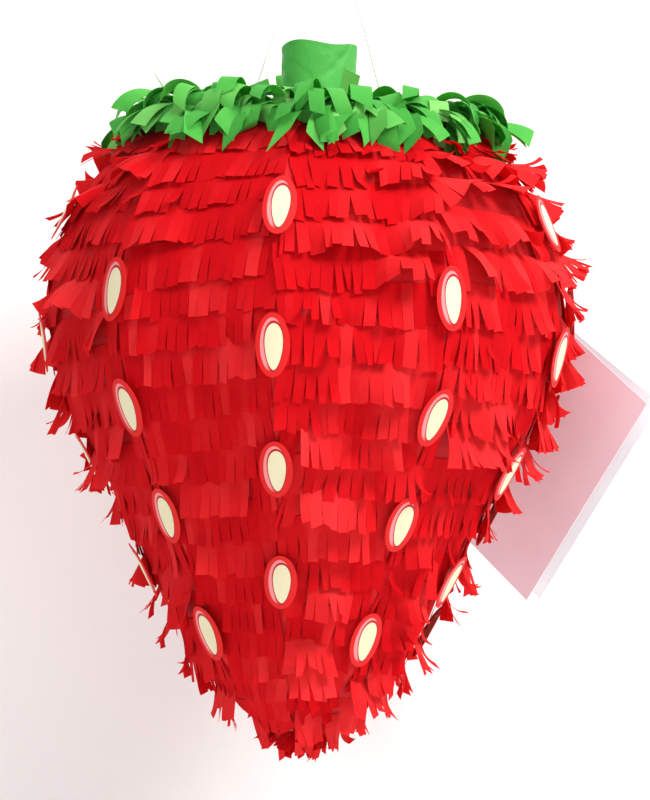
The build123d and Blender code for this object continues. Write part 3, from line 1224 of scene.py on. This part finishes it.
    def _span(
        self, run: Run, span: np.ndarray, reach: tuple[float, float], is_under: bool
    ) -> np.ndarray | None:
        """Trims one tab's width beside the flap and under a seed.

        Args:
            run: What the panel's rows share.
            span: The tab's two sides, as metres right of the panel's middle.
            reach: The tab's top and bottom, as metres down the panel.
            is_under: Whether a seed presses on it.

        Returns:
            The two sides, or None where there is no room for the tab.
        """
        middle = (span[0] + span[1]) / 2
        if run.clearing and run.clearing.meets(reach):
            if abs(middle) < run.clearing.half_width:
                return None
            side = math.copysign(1.0, middle)
            span = side * np.maximum(side * span, run.clearing.half_width)
        if is_under:
            limit = min(self.skin.half_width(end) for end in reach) + self.seed_margin
            span = np.clip(span, -limit, limit)
            if span[1] - span[0] < self.least_width:
                return None
        return span

    @staticmethod
    def _paling_and_painted_light(chance: np.random.Generator, slopes: np.ndarray) -> float:
        """How much paler one tab is: paler where it stands up, which is painted light, and a few
        paler at random.
        """
        rare = 0.25 if chance.random() < 0.07 else 0.0
        return float(chance.normal(0.0, 0.05) + rare + 0.55 * slopes.mean())

    @staticmethod
    def _drift(edges: np.ndarray, chance: np.random.Generator) -> np.ndarray:
        """A slow change along a row, by which neighbouring tabs lie alike."""
        phase = chance.uniform(0, 2 * math.pi, 2)
        return np.sin(edges / (6 * MM) + phase[0]) + 0.7 * np.sin(edges / (15 * MM) + phase[1])

    @staticmethod
    def _slopes(
        edges: np.ndarray, half: float, lay: Lay, chance: np.random.Generator
    ) -> np.ndarray:
        """Draws a row's slopes: a slow swell, and places where it has come away.

        Args:
            edges: The cuts' places across the panel.
            half: Half the row's width.
            lay: How the panel's strips lie.
            chance: The panel's random draws.

        Returns:
            A slope in radians for each cut.
        """
        phase = chance.uniform(0, 2 * math.pi, 2)
        wave = np.sin(edges / (11 * MM) + phase[0]) + np.sin(edges / (23 * MM) + phase[1])
        slopes = lay.swell * (0.35 * wave + 0.3)
        for _ in range(chance.poisson(lay.peels)):
            middle, width = chance.uniform(-half, half), chance.uniform(7 * MM, 22 * MM)
            rise = chance.uniform(0.4, 1.0) * lay.peel_slope
            slopes = slopes + rise * np.exp(-(((edges - middle) / width) ** 4))
        return np.clip(slopes, -0.02, 0.8)

    def _under_seed(
        self,
        middle: float,
        half: float,
        reach: tuple[float, float],
        seeds: list[SeedSpot],
    ) -> bool:
        """Tells whether a seed presses on a tab.

        Args:
            middle: The tab's middle, as metres right of the panel's.
            half: Half the row's width.
            reach: The tab's top and bottom, as metres down the panel.
            seeds: The seeds at the panel's ridges.

        Returns:
            True where one does.
        """
        return any(
            abs(seed.side * half - middle) < self.seed_reach
            and reach[0] < seed.along + seed.half_height
            and reach[1] > seed.along - seed.half_height
            for seed in seeds
        )

    def _cover_flap(self, start: float, end: float, half: float) -> None:
        """Lays the flap's own rows, which swing with it.

        Args:
            start: How far down the panel the first row starts.
            end: How far down the last row may reach.
            half: Half the flap's width.
        """
        seed, panel = self.flap_seed, self.flap_panel
        sheet = StripSheet("flap_tissue", RED_TISSUE, self.band, self.cut, seed=seed)
        run = Run(sheet, panel, LAYS[Temper.CALM], np.random.default_rng(seed))
        pitch = (end - start - self.band - self.cut) / (self.flap_rows - 1)
        for row in range(self.flap_rows):
            self._row(run, start + row * pitch, half - self.flap_margin, 0.5)
        finish_piece(sheet.build(), RED_TISSUE, "fill_flap", self.flap_nodes[1])


@dataclass(frozen=True)
class TipRing:
    """One ring of the tip's strips: its radius, their number and their length."""

    radius: float
    count: int
    length: float


@dataclass
class TipTuft:
    """Loose strips that hang from the tip.

    The root's rise is where a strip of no radius starts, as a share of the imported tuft's height,
    and how much higher one at the root's radius does.
    """

    node: str = "tip_fringe"
    rings: tuple[TipRing, ...] = (
        TipRing(16.0 * MM, 22, 11.0 * MM),
        TipRing(10.0 * MM, 16, 10.0 * MM),
        TipRing(4.0 * MM, 9, 9.0 * MM),
    )
    width: float = 5.2 * MM
    cut: float = 20.0 * MM
    root_radius: float = 18.0 * MM
    root_rise: tuple[float, float] = (0.15, 0.8)
    hang: tuple[float, float] = (0.55, 1.25)
    curl: tuple[float, float] = (-8.0, 30.0)
    twist: float = 0.6
    lean: float = 0.25
    skew: float = 0.1
    seed: int = 5

    def build(self) -> None:
        """Hangs the strips in three rings under the tip."""
        low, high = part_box(self.node)
        sheet = StripSheet(
            "tip_tuft",
            RED_TISSUE,
            0.0,
            self.cut,
            StripRule(rows=8),
            cut_gap=0.0,
            flutter=2.5 * MM,
            seed=self.seed,
        )
        chance = np.random.default_rng(self.seed)
        centre = (low + high) / 2
        lowest, climb = self.root_rise
        for ring in self.rings:
            rise = low.z + (high.z - low.z) * (lowest + climb * ring.radius / self.root_radius)
            for index in range(ring.count):
                turn = 2 * math.pi * (index + chance.uniform(-0.3, 0.3)) / ring.count
                level = np.array((math.cos(turn), math.sin(turn), 0.0))
                hang = chance.uniform(*self.hang)
                travel = level * math.cos(hang) - UP * math.sin(hang)
                out = level * math.sin(hang) + UP * math.cos(hang)
                side = np.cross(out, travel)
                middle = np.array((centre.x, centre.y, rise)) + level * ring.radius
                sheet.strip(
                    left=middle - side * self.width / 2,
                    right=middle + side * self.width / 2,
                    down=travel,
                    out=-out,
                    slope_left=0.0,
                    slope_right=0.0,
                    curl=chance.normal(*self.curl),
                    twist=chance.normal(0.0, self.twist),
                    lean=chance.normal(0.0, self.lean),
                    long=ring.length / self.cut * chance.uniform(0.75, 1.1),
                    skew=chance.normal(0.0, self.skew),
                    shade=chance.uniform(0.3, 0.75),
                )
        finish_piece(sheet.build(), RED_TISSUE, SHELL, self.node)


# ------------------------------------------------------------------ seeds


SAME_SPOT = 0.001 * MM


def loose_parts(mesh: bpy.types.Mesh) -> list[np.ndarray]:
    """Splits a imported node's triangles into its separate solids' points.

    Args:
        mesh: A CAD node's mesh, whose triangles share no points.

    Returns:
        The points of each solid, highest solid first.
    """
    points = np.array([v.co for v in mesh.vertices])
    spots = np.round(points / SAME_SPOT).astype(int)
    keys: dict[tuple[int, ...], int] = {}
    owner = [keys.setdefault(tuple(spot), len(keys)) for spot in spots]
    parent = list(range(len(keys)))

    def root(item: int) -> int:
        """Finds the group that a corner belongs to.

        Args:
            item: The corner's number.

        Returns:
            The group's first corner.
        """
        while parent[item] != item:
            parent[item] = parent[parent[item]]
            item = parent[item]
        return item

    for polygon in mesh.polygons:
        first, *others = (owner[v] for v in polygon.vertices)
        for other in others:
            parent[root(other)] = root(first)
    groups: dict[int, list[int]] = {}
    for index, corner in enumerate(owner):
        groups.setdefault(root(corner), []).append(index)
    return sorted((points[g] for g in groups.values()), key=lambda p: -p[:, 2].mean())


def seed_spans(mesh: bpy.types.Mesh) -> list[tuple[float, float]]:
    """Measures a ridge's seeds.

    Args:
        mesh: A ridge's packed seeds.

    Returns:
        A middle height and half height for each seed.
    """
    return [
        (float(p[:, 2].min() + p[:, 2].max()) / 2, float(np.ptp(p[:, 2])) / 2)
        for p in loose_parts(mesh)
    ]


@dataclass
class CardMesh:
    """The growing mesh of one ridge's cards: its points, faces and places on the print."""

    points: list = field(default_factory=list)
    faces: list = field(default_factory=list)
    prints: list = field(default_factory=list)

    def mesh(self, name: str) -> bpy.types.Mesh:
        """Makes the mesh with its print's UV map.

        Args:
            name: The mesh's name.

        Returns:
            The mesh.
        """
        mesh = bpy.data.meshes.new(name)
        mesh.from_pydata(self.points, [], self.faces)
        layer = mesh.uv_layers.new(name="print")
        spots = [self.prints[loop.vertex_index] for loop in mesh.loops]
        layer.data.foreach_set("uv", np.array(spots, np.float32).ravel())
        return mesh


@dataclass
class SeedCards:
    """Oval cards, bent a little over the ridges, with a printed kernel."""

    skin: Skin
    rings: int = 6
    spokes: int = 40
    bow: float = 0.9 * MM
    lift: float = 0.4
    spin: float = 0.05
    warp_mm: tuple[float, float] = (-0.6, 1.2)
    board: float = 0.45 * MM
    first_seed: int = 300

    def build(self) -> None:
        """Builds each ridge's seeds as one piece."""
        for ridge in range(self.skin.panel_count):
            node = f"seeds_{ridge + 1:02d}"
            chance = np.random.default_rng(self.first_seed + ridge)
            cards = CardMesh()
            for part in loose_parts(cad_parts[node].data):
                self._card(part, ridge, chance, cards)
            mesh = cards.mesh(f"seed_cards_{ridge + 1:02d}")
            piece = place(mesh.name, mesh)
            thickened(piece, self.board)
            finish_piece(settled(piece, mesh.name), SEED_PRINT, SHELL, node)

    def _card(
        self, part: np.ndarray, ridge: int, chance: np.random.Generator, cards: CardMesh
    ) -> None:
        """Adds one card, in its packed place, bowed about its long axis.

        Args:
            part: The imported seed's points.
            ridge: The ridge's number, from 0.
            chance: The ridge's random draws.
            cards: The mesh that the card is added to.
        """
        centre = part.mean(0)
        level = self.skin.outward(ridge - 0.5)
        right = np.cross(-level, UP)
        spread = part - centre
        flat = spread - np.outer(spread @ right, right)
        long_way = np.linalg.svd(flat, full_matrices=False)[2][0]
        long_way *= math.copysign(1.0, long_way[2])
        out = np.cross(right, long_way)
        half_width = np.abs(spread @ right).max()
        half_height = np.abs(spread @ long_way).max()
        spin = chance.normal(0.0, self.spin)
        across = right * math.cos(spin) + long_way * math.sin(spin)
        along = long_way * math.cos(spin) - right * math.sin(spin)
        first = len(cards.points)
        cards.points.append((centre + out * self.bow * self.lift).tolist())
        cards.prints.append((0.5, 0.5))
        warp = chance.uniform(*self.warp_mm) * MM
        for ring in range(1, self.rings + 1):
            share = ring / self.rings
            for spoke in range(self.spokes):
                turn = 2 * math.pi * spoke / self.spokes
                x, y = share * math.cos(turn), share * math.sin(turn)
                rise = self.bow * (self.lift - x * x) + warp * y * abs(y) * 0.5
                spot = centre + across * x * half_width + along * y * half_height + out * rise
                cards.points.append(spot.tolist())
                cards.prints.append((0.5 + 0.5 * x, 0.5 + 0.5 * y))
        for spoke in range(self.spokes):
            after = (spoke + 1) % self.spokes
            cards.faces.append((first, first + 1 + spoke, first + 1 + after))
            for ring in range(self.rings - 1):
                inner = first + 1 + ring * self.spokes
                outer = inner + self.spokes
                cards.faces.append((inner + spoke, outer + spoke, outer + after, inner + after))


# ------------------------------------------------------------------ stem and calyx


@dataclass(frozen=True)
class Fold:
    """One slanting fold in the stem's paper: its place, slant, width, depth, middle and span."""

    turn: float
    slant: float
    width: float
    depth: float
    centre: float
    span: float

    def relief(self, turn: np.ndarray, share: float) -> np.ndarray:
        """Works out how far the fold stands out along one level.

        Args:
            turn: The directions round the stem.
            share: How far up the stem the level is, 0 to 1.

        Returns:
            The relief for each direction, as a share of the deepest fold.
        """
        away = turn - self.turn - self.slant * (share - 0.5)
        away = (away + math.pi) % (2 * math.pi) - math.pi
        ridge = np.clip(1 - np.abs(away) / self.width, 0, 1)
        return self.depth * ridge * max(0.0, 1 - abs(share - self.centre) / self.span)


@dataclass
class Stem:
    """Green paper wound round the tube, creased, and tucked in over the top.

    Each step of the tuck is a share of the radius and how far it falls below the rim, in mm.
    """

    node: str = "stem_wrap"
    turns: int = 120
    rises: int = 44
    folds: int = 26
    fold_depth: float = 2.4 * MM
    slack: float = 0.7 * MM
    inset: float = 0.3 * MM
    oval: float = 1.2 * MM
    rim_drop: float = 1.6 * MM
    rim_tilt: float = 2.2 * MM
    rim_wave: float = 1.4 * MM
    pleats: int = 17
    pleat_depth: float = 0.9 * MM
    paper: float = 0.25 * MM
    tuck: tuple[tuple[float, float], ...] = (
        (0.95, -0.1),
        (0.86, 1.2),
        (0.7, 3.2),
        (0.45, 4.6),
        (0.2, 5.2),
        (0.02, 5.4),
    )
    seed: int = 9

    def build(self) -> None:
        """Builds the wrap from its wall and its tucked top."""
        low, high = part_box(self.node)
        radius = (high.x - low.x) / 2
        level = high.z - self.rim_drop
        turn = np.linspace(0, 2 * math.pi, self.turns, endpoint=False)
        rim = level + self.rim_tilt * np.sin(turn + 2.9) + self.rim_wave * np.sin(3 * turn + 2.0)
        folds = self._folds()
        rings = []
        for share in np.linspace(0.0, 1.0, self.rises):
            relief = self.fold_depth * sum(fold.relief(turn, share) for fold in folds)
            wide = radius + relief * (0.35 + 0.65 * share)
            wide = wide + self.oval * (np.sin(2 * turn + 0.4) + 0.5) * share
            wide = np.maximum(wide, radius - self.slack)
            rings.append(self._ring(turn, wide, low.z + (rim - low.z) * share))
        phase = np.random.default_rng(self.seed).uniform(0, 6)
        pleat = self.pleat_depth * np.sin(turn * self.pleats + phase)
        for share, fall in self.tuck:
            wide = (radius - self.inset) * share + pleat * (1 - share) * 2 * share
            height = rim - fall * MM + pleat * share * (1 - share) * 3
            if share < 0.5:
                height = level + (height - level) * share
            rings.append(self._ring(turn, wide, height))
        piece = place("stem_paper", rings_mesh("stem_paper", np.array(rings)[::-1]))
        thickened(piece, self.paper)
        finish_piece(settled(piece, "stem_paper"), GREEN_PAPER, SHELL, self.node)

    @staticmethod
    def _ring(turn: np.ndarray, wide: np.ndarray, height: np.ndarray) -> np.ndarray:
        """Points of one ring about the axis."""
        return np.stack([wide * np.cos(turn), wide * np.sin(turn), height], axis=1)

    def _folds(self) -> list[Fold]:
        """Draws the paper's folds, shallow and sharp.

        Returns:
            The folds.
        """
        chance = np.random.default_rng(self.seed)
        return [
            Fold(
                turn=chance.uniform(0, 2 * math.pi),
                slant=chance.normal(0.0, 1.1),
                width=chance.uniform(0.10, 0.34),
                depth=chance.uniform(-1.0, 1.0),
                centre=chance.uniform(0.0, 1.0),
                span=chance.uniform(0.2, 0.6),
            )
            for _ in range(self.folds)
        ]


@dataclass(frozen=True)
class CurlKind:
    """One way a calyx curl lies: its rise in radians, curl per metre and length in mm."""

    rise: tuple[float, float]
    curl: tuple[float, float]
    length: tuple[float, float]


class Curl(Enum):
    """The calyx curls' ways of lying."""

    OVER = CurlKind((0.9, 1.3), (-100.0, -65.0), (28.0, 38.0))
    ROLLED = CurlKind((0.7, 1.3), (-200.0, -125.0), (24.0, 32.0))
    HANGING = CurlKind((-0.15, 0.3), (-50.0, -22.0), (28.0, 40.0))
    STANDING = CurlKind((1.1, 1.4), (-30.0, 14.0), (22.0, 30.0))


@dataclass(frozen=True)
class Coil:
    """One coil of curls: its node, its name, its layers, and how often each kind comes.

    The lowest layers are a hem where a curl that would roll over hangs instead, and the layers
    listed as inward point at the stem.
    """

    node: str
    name: str
    count: int
    layers: int
    odds: tuple[float, float, float, float]
    hem: int = 0
    inward: tuple[int, ...] = ()


@dataclass
class Calyx:
    """Three coils of green tissue, each cut into broad curls."""

    width: float = 10.5 * MM
    length: float = 34.0 * MM
    margin: float = 2.0 * MM
    lowest: float = 1.0 * MM
    climb: float = 10.0 * MM
    yaw: float = 0.5
    twist: float = 0.4
    lean: float = 0.25
    skew: float = 0.1
    tone_spread: float = 0.17
    first_seed: int = 500
    coils: tuple[Coil, ...] = (
        Coil("calyx_outer_coil", "calyx_outer_curls", 56, 5, (0.36, 0.28, 0.355, 0.005), hem=2),
        Coil("calyx_middle_coil", "calyx_middle_curls", 36, 3, (0.6, 0.4, 0.0, 0.0), inward=(1,)),
        Coil("calyx_inner_coil", "calyx_inner_curls", 18, 3, (0.50, 0.30, 0.05, 0.15)),
    )

    def build(self) -> None:
        """Builds the three coils."""
        for number, coil in enumerate(self.coils):
            self._coil(coil, self.first_seed + number)

    def _coil(self, coil: Coil, seed: int) -> None:
        """Curls one coil's strips outward from its ring, in layers.

        Args:
            coil: The coil.
            seed: What its random draws start from.
        """
        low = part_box(coil.node)[0]
        points = np.array([v.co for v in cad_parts[coil.node].data.vertices])
        away = np.hypot(points[:, 0], points[:, 1])
        inner, outer = away.min(), away.max()
        chance = np.random.default_rng(seed)
        sheet = StripSheet(
            coil.name,
            GREEN_TISSUE,
            0.0,
            self.length,
            StripRule(rows=15),
            stand_off=0.0,
            cut_gap=0.0,
            flutter=2.0 * MM,
            paper=0.25 * MM,
            seed=seed,
        )
        kinds = list(Curl)
        for layer in range(coil.layers):
            for index in range(coil.count):
                curl = kinds[chance.choice(len(kinds), p=coil.odds)]
                if layer < coil.hem and curl is Curl.OVER:
                    curl = Curl.HANGING
                kind = curl.value
                step = index + 0.5 * layer + chance.uniform(-0.25, 0.25)
                turn = 2 * math.pi * step / coil.count
                inwards = math.pi if layer in coil.inward else 0.0
                yaw = turn + inwards + chance.normal(0.0, self.yaw)
                level = np.array((math.cos(turn), math.sin(turn), 0.0))
                travel = np.array((math.cos(yaw), math.sin(yaw), 0.0))
                side = np.cross(UP, travel)
                share = (layer + chance.uniform(0.0, 0.8)) / coil.layers
                radius = outer - self.margin - (outer - inner - 2 * self.margin) * share
                wide = self.width * chance.uniform(0.8, 1.15)
                middle = level * radius + UP * (low.z + self.lowest + self.climb * share)
                sheet.strip(
                    left=middle - side * wide / 2,
                    right=middle + side * wide / 2,
                    down=travel,
                    out=UP,
                    slope_left=chance.uniform(*kind.rise),
                    slope_right=chance.uniform(*kind.rise),
                    curl=chance.uniform(*kind.curl),
                    twist=chance.normal(0.0, self.twist),
                    lean=chance.normal(0.0, self.lean),
                    long=chance.uniform(*kind.length) * MM / self.length,
                    skew=chance.normal(0.0, self.skew),
                    shade=float(np.clip(chance.normal(0.5, self.tone_spread), 0.05, 0.95)),
                )
        finish_piece(sheet.build(), GREEN_TISSUE, SHELL, coil.node)


# ------------------------------------------------------------------ hanging string


@dataclass
class Hanger:
    """One thread from hole to hole over the hook, gathered by a knot and stopped by two.

    Its three points are in millimetres, across and up, on the left side.
    """

    diameter: float = 1.2 * MM
    length: float = 390.1 * MM
    leg: tuple[float, float] = (-1.0, -30.0)
    loop: tuple[float, float] = (-7.2, 0.6)
    stopper: tuple[float, float] = (-45.51, -184.2)
    straight_from: float = 0.047
    sides: int = 8
    knot_turns: int = 5
    knot_inset: float = 0.9 * MM
    knot_tilt: float = 0.35 * MM

    def build(self) -> None:
        """Builds the thread and its knots."""
        thread = self._thread()
        knots = [self._gathering_knot(), self._stopper_knots()]

    def _route(self) -> list[tuple[float, float, float]]:
        """Lists control points from one stopper knot over the hook to the other.

        Returns:
            The points, in metres.
        """
        near = tuple(a + (b - a) * self.straight_from for a, b in zip(self.leg, self.stopper))
        half = [self.stopper, near, self.leg, self.loop]
        other = [(-x, z) for x, z in reversed(half)]
        return [(x * MM, 0.0, z * MM) for x, z in half + other]

    def _thread(self) -> bpy.types.Object:
        """Builds the thread as one smooth line.

        Returns:
            The thread.
        """
        route = self._route()
        curve = bpy.data.curves.new("hanging_thread", "CURVE")
        curve.dimensions = "3D"
        spline = curve.splines.new("NURBS")
        spline.points.add(len(route) - 1)
        for point, spot in zip(spline.points, route):
            point.co = (*spot, 1.0)
        spline.use_endpoint_u = True
        spline.order_u = 3
        spline.resolution_u = 24
        curve.bevel_depth = self.diameter / 2
        curve.bevel_resolution = 3
        curve.use_fill_caps = True
        thread = place("hanging_thread", curve)
        finish_piece(thread, THREAD, HANGER, "hanging_string")
        return thread

    def _tube(self, name: str, paths: list[np.ndarray]) -> bpy.types.Object:
        """Makes thread-thick tubes along closed paths and joins them into one piece.

        Args:
            name: The piece's name.
            paths: Each path's points.

        Returns:
            The piece.
        """
        sides, radius = self.sides, self.diameter / 2
        points, faces = [], []
        for path in paths:
            ahead = np.roll(path, -1, axis=0) - np.roll(path, 1, axis=0)
            ahead /= np.linalg.norm(ahead, axis=1)[:, None]
            hint = path - path.mean(0) + np.array((0.0, 0.0, 1e-5))
            first = hint - (hint * ahead).sum(1)[:, None] * ahead
            first /= np.linalg.norm(first, axis=1)[:, None]
            second = np.cross(ahead, first)
            base, count = len(points), len(path)
            for index in range(count):
                for side in range(sides):
                    turn = 2 * math.pi * side / sides
                    arm = first[index] * math.cos(turn) + second[index] * math.sin(turn)
                    points.append((path[index] + arm * radius).tolist())
            for index in range(count):
                after = (index + 1) % count
                here, there = base + index * sides, base + after * sides
                for side in range(sides):
                    turned = (side + 1) % sides
                    faces.append((here + side, here + turned, there + turned, there + side))
        mesh = bpy.data.meshes.new(name)
        mesh.from_pydata(points, [], faces)
        mesh.shade_smooth()
        return place(name, mesh)

    def _gathering_knot(self) -> bpy.types.Object:
        """Winds tight turns round the two strands.

        Returns:
            The knot.
        """
        low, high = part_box("gathering_knot")
        turn = np.linspace(0, 2 * math.pi, 28, endpoint=False)
        paths = []
        radius = (high.x - low.x) / 2 - self.diameter / 2
        inset = self.knot_inset
        for rise in np.linspace(low.z + inset, high.z - inset, self.knot_turns):
            tilt = self.knot_tilt * np.sin(turn + rise * 900)
            ring = np.stack([radius * np.cos(turn), radius * np.sin(turn), rise + tilt], axis=1)
            paths.append(ring)
        knot = self._tube("gathering_turns", paths)
        finish_piece(knot, THREAD, HANGER, "gathering_knot")
        return knot

    def _stopper_knots(self) -> bpy.types.Object:
        """Ties a three-lobed knot at each end, under the plate.

        Returns:
            The two knots as one piece.
        """
        low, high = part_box("stopper_knots")
        radius = (high.z - low.z) / 2 - self.diameter / 2
        turn = np.linspace(0, 2 * math.pi, 72, endpoint=False)
        lobes = np.stack(
            [
                (np.sin(turn) + 2 * np.sin(2 * turn)) / 3,
                (np.cos(turn) - 2 * np.cos(2 * turn)) / 3,
                -np.sin(3 * turn) * 0.45,
            ],
            axis=1,
        )
        paths = [
            np.array((side * (high.x - radius - self.diameter / 2), 0, (low.z + high.z) / 2))
            + lobes[:, [0, 2, 1]] * radius
            for side in (-1.0, 1.0)
        ]
        knots = self._tube("stopper_turns", paths)
        finish_piece(knots, THREAD, HANGER, "stopper_knots")
        return knots


# ------------------------------------------------------------------ packed card and label


@dataclass
class PackedParts:
    """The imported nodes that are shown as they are, with their finishes."""

    panel_count: int = 10

    def build(self) -> None:
        """Dresses each node."""
        finishes: dict[str, Finish] = {
            f"panel_{index + 1:02d}": PANEL_BOARD for index in range(self.panel_count)
        }
        finishes |= {
            "ridge_tapes": RED_TAPE,
            "top_disc": TISSUE_FACED_BOARD,
            "string_plate": BROWN_BOARD,
            "tip_cap": BROWN_BOARD,
            "stem_tube": TUBE_BOARD,
            "stem_cap": TUBE_BOARD,
            "fill_flap": PANEL_BOARD,
            "label_leaf": LABEL_CARD,
            "label_cover": COVER_CARD,
            "tag_pin": NYLON,
        }
        for node, finish in finishes.items():
            dress(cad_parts[node], finish)
            LOG.info("%s: %s", node, finish.name)


# ------------------------------------------------------------------ studio


@dataclass(frozen=True)
class Lamp:
    """A square lamp: its place, size, power and colour."""

    name: str
    spot: tuple[float, float, float]
    size: float
    power: float
    colour: Colour


@dataclass
class Studio:
    """A white wall close behind, a pale floor below, three soft lamps and the camera."""

    wall_back: float = 0.235
    floor_level: float = -0.72
    half: float = 2.0
    floor_front: float = 3.0
    distance: float = 1.63
    lens: float = 128.5
    sensor: float = 36.0
    roll: float = math.radians(1.85)
    aim_across: float = 0.0096
    aim_below_disc: float = 0.1542
    lamps: tuple[Lamp, ...] = (
        Lamp("key", (1.3, -1.3, 1.05), 0.7, 46.0, (1.0, 0.985, 0.96)),
        Lamp("fill", (-1.5, -1.9, -0.3), 1.6, 3.5, (1.0, 0.97, 0.97)),
        Lamp("top", (-0.1, -0.8, 1.1), 0.8, 10.0, (1.0, 0.97, 0.96)),
    )
    sky: float = 0.45
    sky_colour: Colour = (1.0, 0.985, 0.985)
    paint: Colour = (0.93, 0.92, 0.92)
    wall_glow: float = 0.008

    @property
    def aim(self) -> tuple[float, float, float]:
        """What the camera looks at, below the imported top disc."""
        return (self.aim_across, 0.0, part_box("top_disc")[1].z - self.aim_below_disc)

    def build(self) -> None:
        """Sets the wall, floor, lights and camera."""
        half, back, front, level = self.half, self.wall_back, self.floor_front, self.floor_level
        upright = [(x, back, z) for x, z in self._square(half, -half)]
        flat = [(x, y, level) for x, y in self._square(half, -front)]
        wall = self._plane("wall", upright, self.wall_glow)
        floor = self._plane("floor", flat, 0.0)
        for lamp in self.lamps:
            self._light(lamp)
        world = bpy.data.worlds.new("room")
        world.use_nodes = True
        background = world.node_tree.nodes["Background"]
        background.inputs["Color"].default_value = (*self.sky_colour, 1.0)
        background.inputs["Strength"].default_value = self.sky
        bpy.context.scene.world = world
        bpy.context.scene.view_settings.view_transform = "Standard"
        self._camera()

    @staticmethod
    def _square(half: float, near: float) -> list[tuple[float, float]]:
        """Corners from a near edge to a far one, in order."""
        return [(-half, near), (half, near), (half, half), (-half, half)]

    def _plane(self, name: str, corners: list, glow: float) -> bpy.types.Object:
        """Makes the wall or the floor.

        Args:
            name: Its name.
            corners: Its four corners, in order.
            glow: How much light its paint adds, or 0 for plain paint.

        Returns:
            The plane.
        """
        mesh = bpy.data.meshes.new(name)
        mesh.from_pydata(corners, [], [(0, 1, 2, 3)])
        plane = place(name, mesh)
        plane.data.materials.append(self._paint(name, glow))
        return plane

    def _paint(self, name: str, glow: float) -> bpy.types.Material:
        """Makes matt white paint.

        Args:
            name: What is painted.
            glow: How much light it adds; paint that adds any is clear from behind.

        Returns:
            The paint.
        """
        material = bpy.data.materials.new(name + " paint")
        material.use_nodes = True
        material.node_tree.nodes.clear()
        graph = Graph(material.node_tree)
        paint = graph.add("ShaderNodeBsdfDiffuse", {"Color": (*self.paint, 1.0)})
        shader = paint.outputs[0]
        if glow:
            light = graph.add("ShaderNodeEmission", {"Strength": glow})
            shader = graph.add("ShaderNodeAddShader", {0: shader, 1: light.outputs[0]}).outputs[0]
            side = graph.add("ShaderNodeNewGeometry")
            clear = graph.add("ShaderNodeBsdfTransparent")
            inputs = {0: side.outputs["Backfacing"], 1: shader, 2: clear.outputs[0]}
            shader = graph.add("ShaderNodeMixShader", inputs).outputs[0]
        graph.add("ShaderNodeOutputMaterial", {"Surface": shader})
        return material

    def _light(self, lamp: Lamp) -> None:
        """Sets a lamp so that it faces the body's middle.

        Args:
            lamp: The lamp.
        """
        data = bpy.data.lights.new(lamp.name, "AREA")
        data.size = lamp.size
        data.energy = lamp.power
        data.color = lamp.colour
        piece = place(lamp.name, data)
        piece.location = lamp.spot
        way = Vector(self.aim) - Vector(lamp.spot)
        piece.rotation_euler = way.to_track_quat("-Z", "Y").to_euler()

    def _camera(self) -> None:
        """Sets the camera level, rolled a little, on the body's front."""
        camera = bpy.data.cameras.new("camera")
        camera.lens = self.lens
        camera.sensor_width = self.sensor
        piece = place("camera", camera)
        spot = Vector(self.aim) + Vector((0, -self.distance, 0))
        back = Vector((0, -1, 0))
        up = Vector((-math.sin(self.roll), 0, math.cos(self.roll)))
        right = up.cross(back)
        turn = Matrix((right, up, back)).transposed()
        piece.matrix_world = Matrix.Translation(spot) @ turn.to_4x4()
        bpy.context.scene.camera = piece


def main() -> None:
    """Builds every sub-assembly in order."""
    logging.basicConfig(level=logging.INFO, format="%(name)s: %(message)s")
    Studio().build()
    Hanger().build()
    PackedParts().build()
    skin = Skin()
    LOG.info("panel line: %.1f mm long", skin.length / MM)
    RedFringe(skin).build()
    TipTuft().build()
    SeedCards(skin).build()
    Stem().build()
    Calyx().build()


if __name__ == "__main__":
    main()
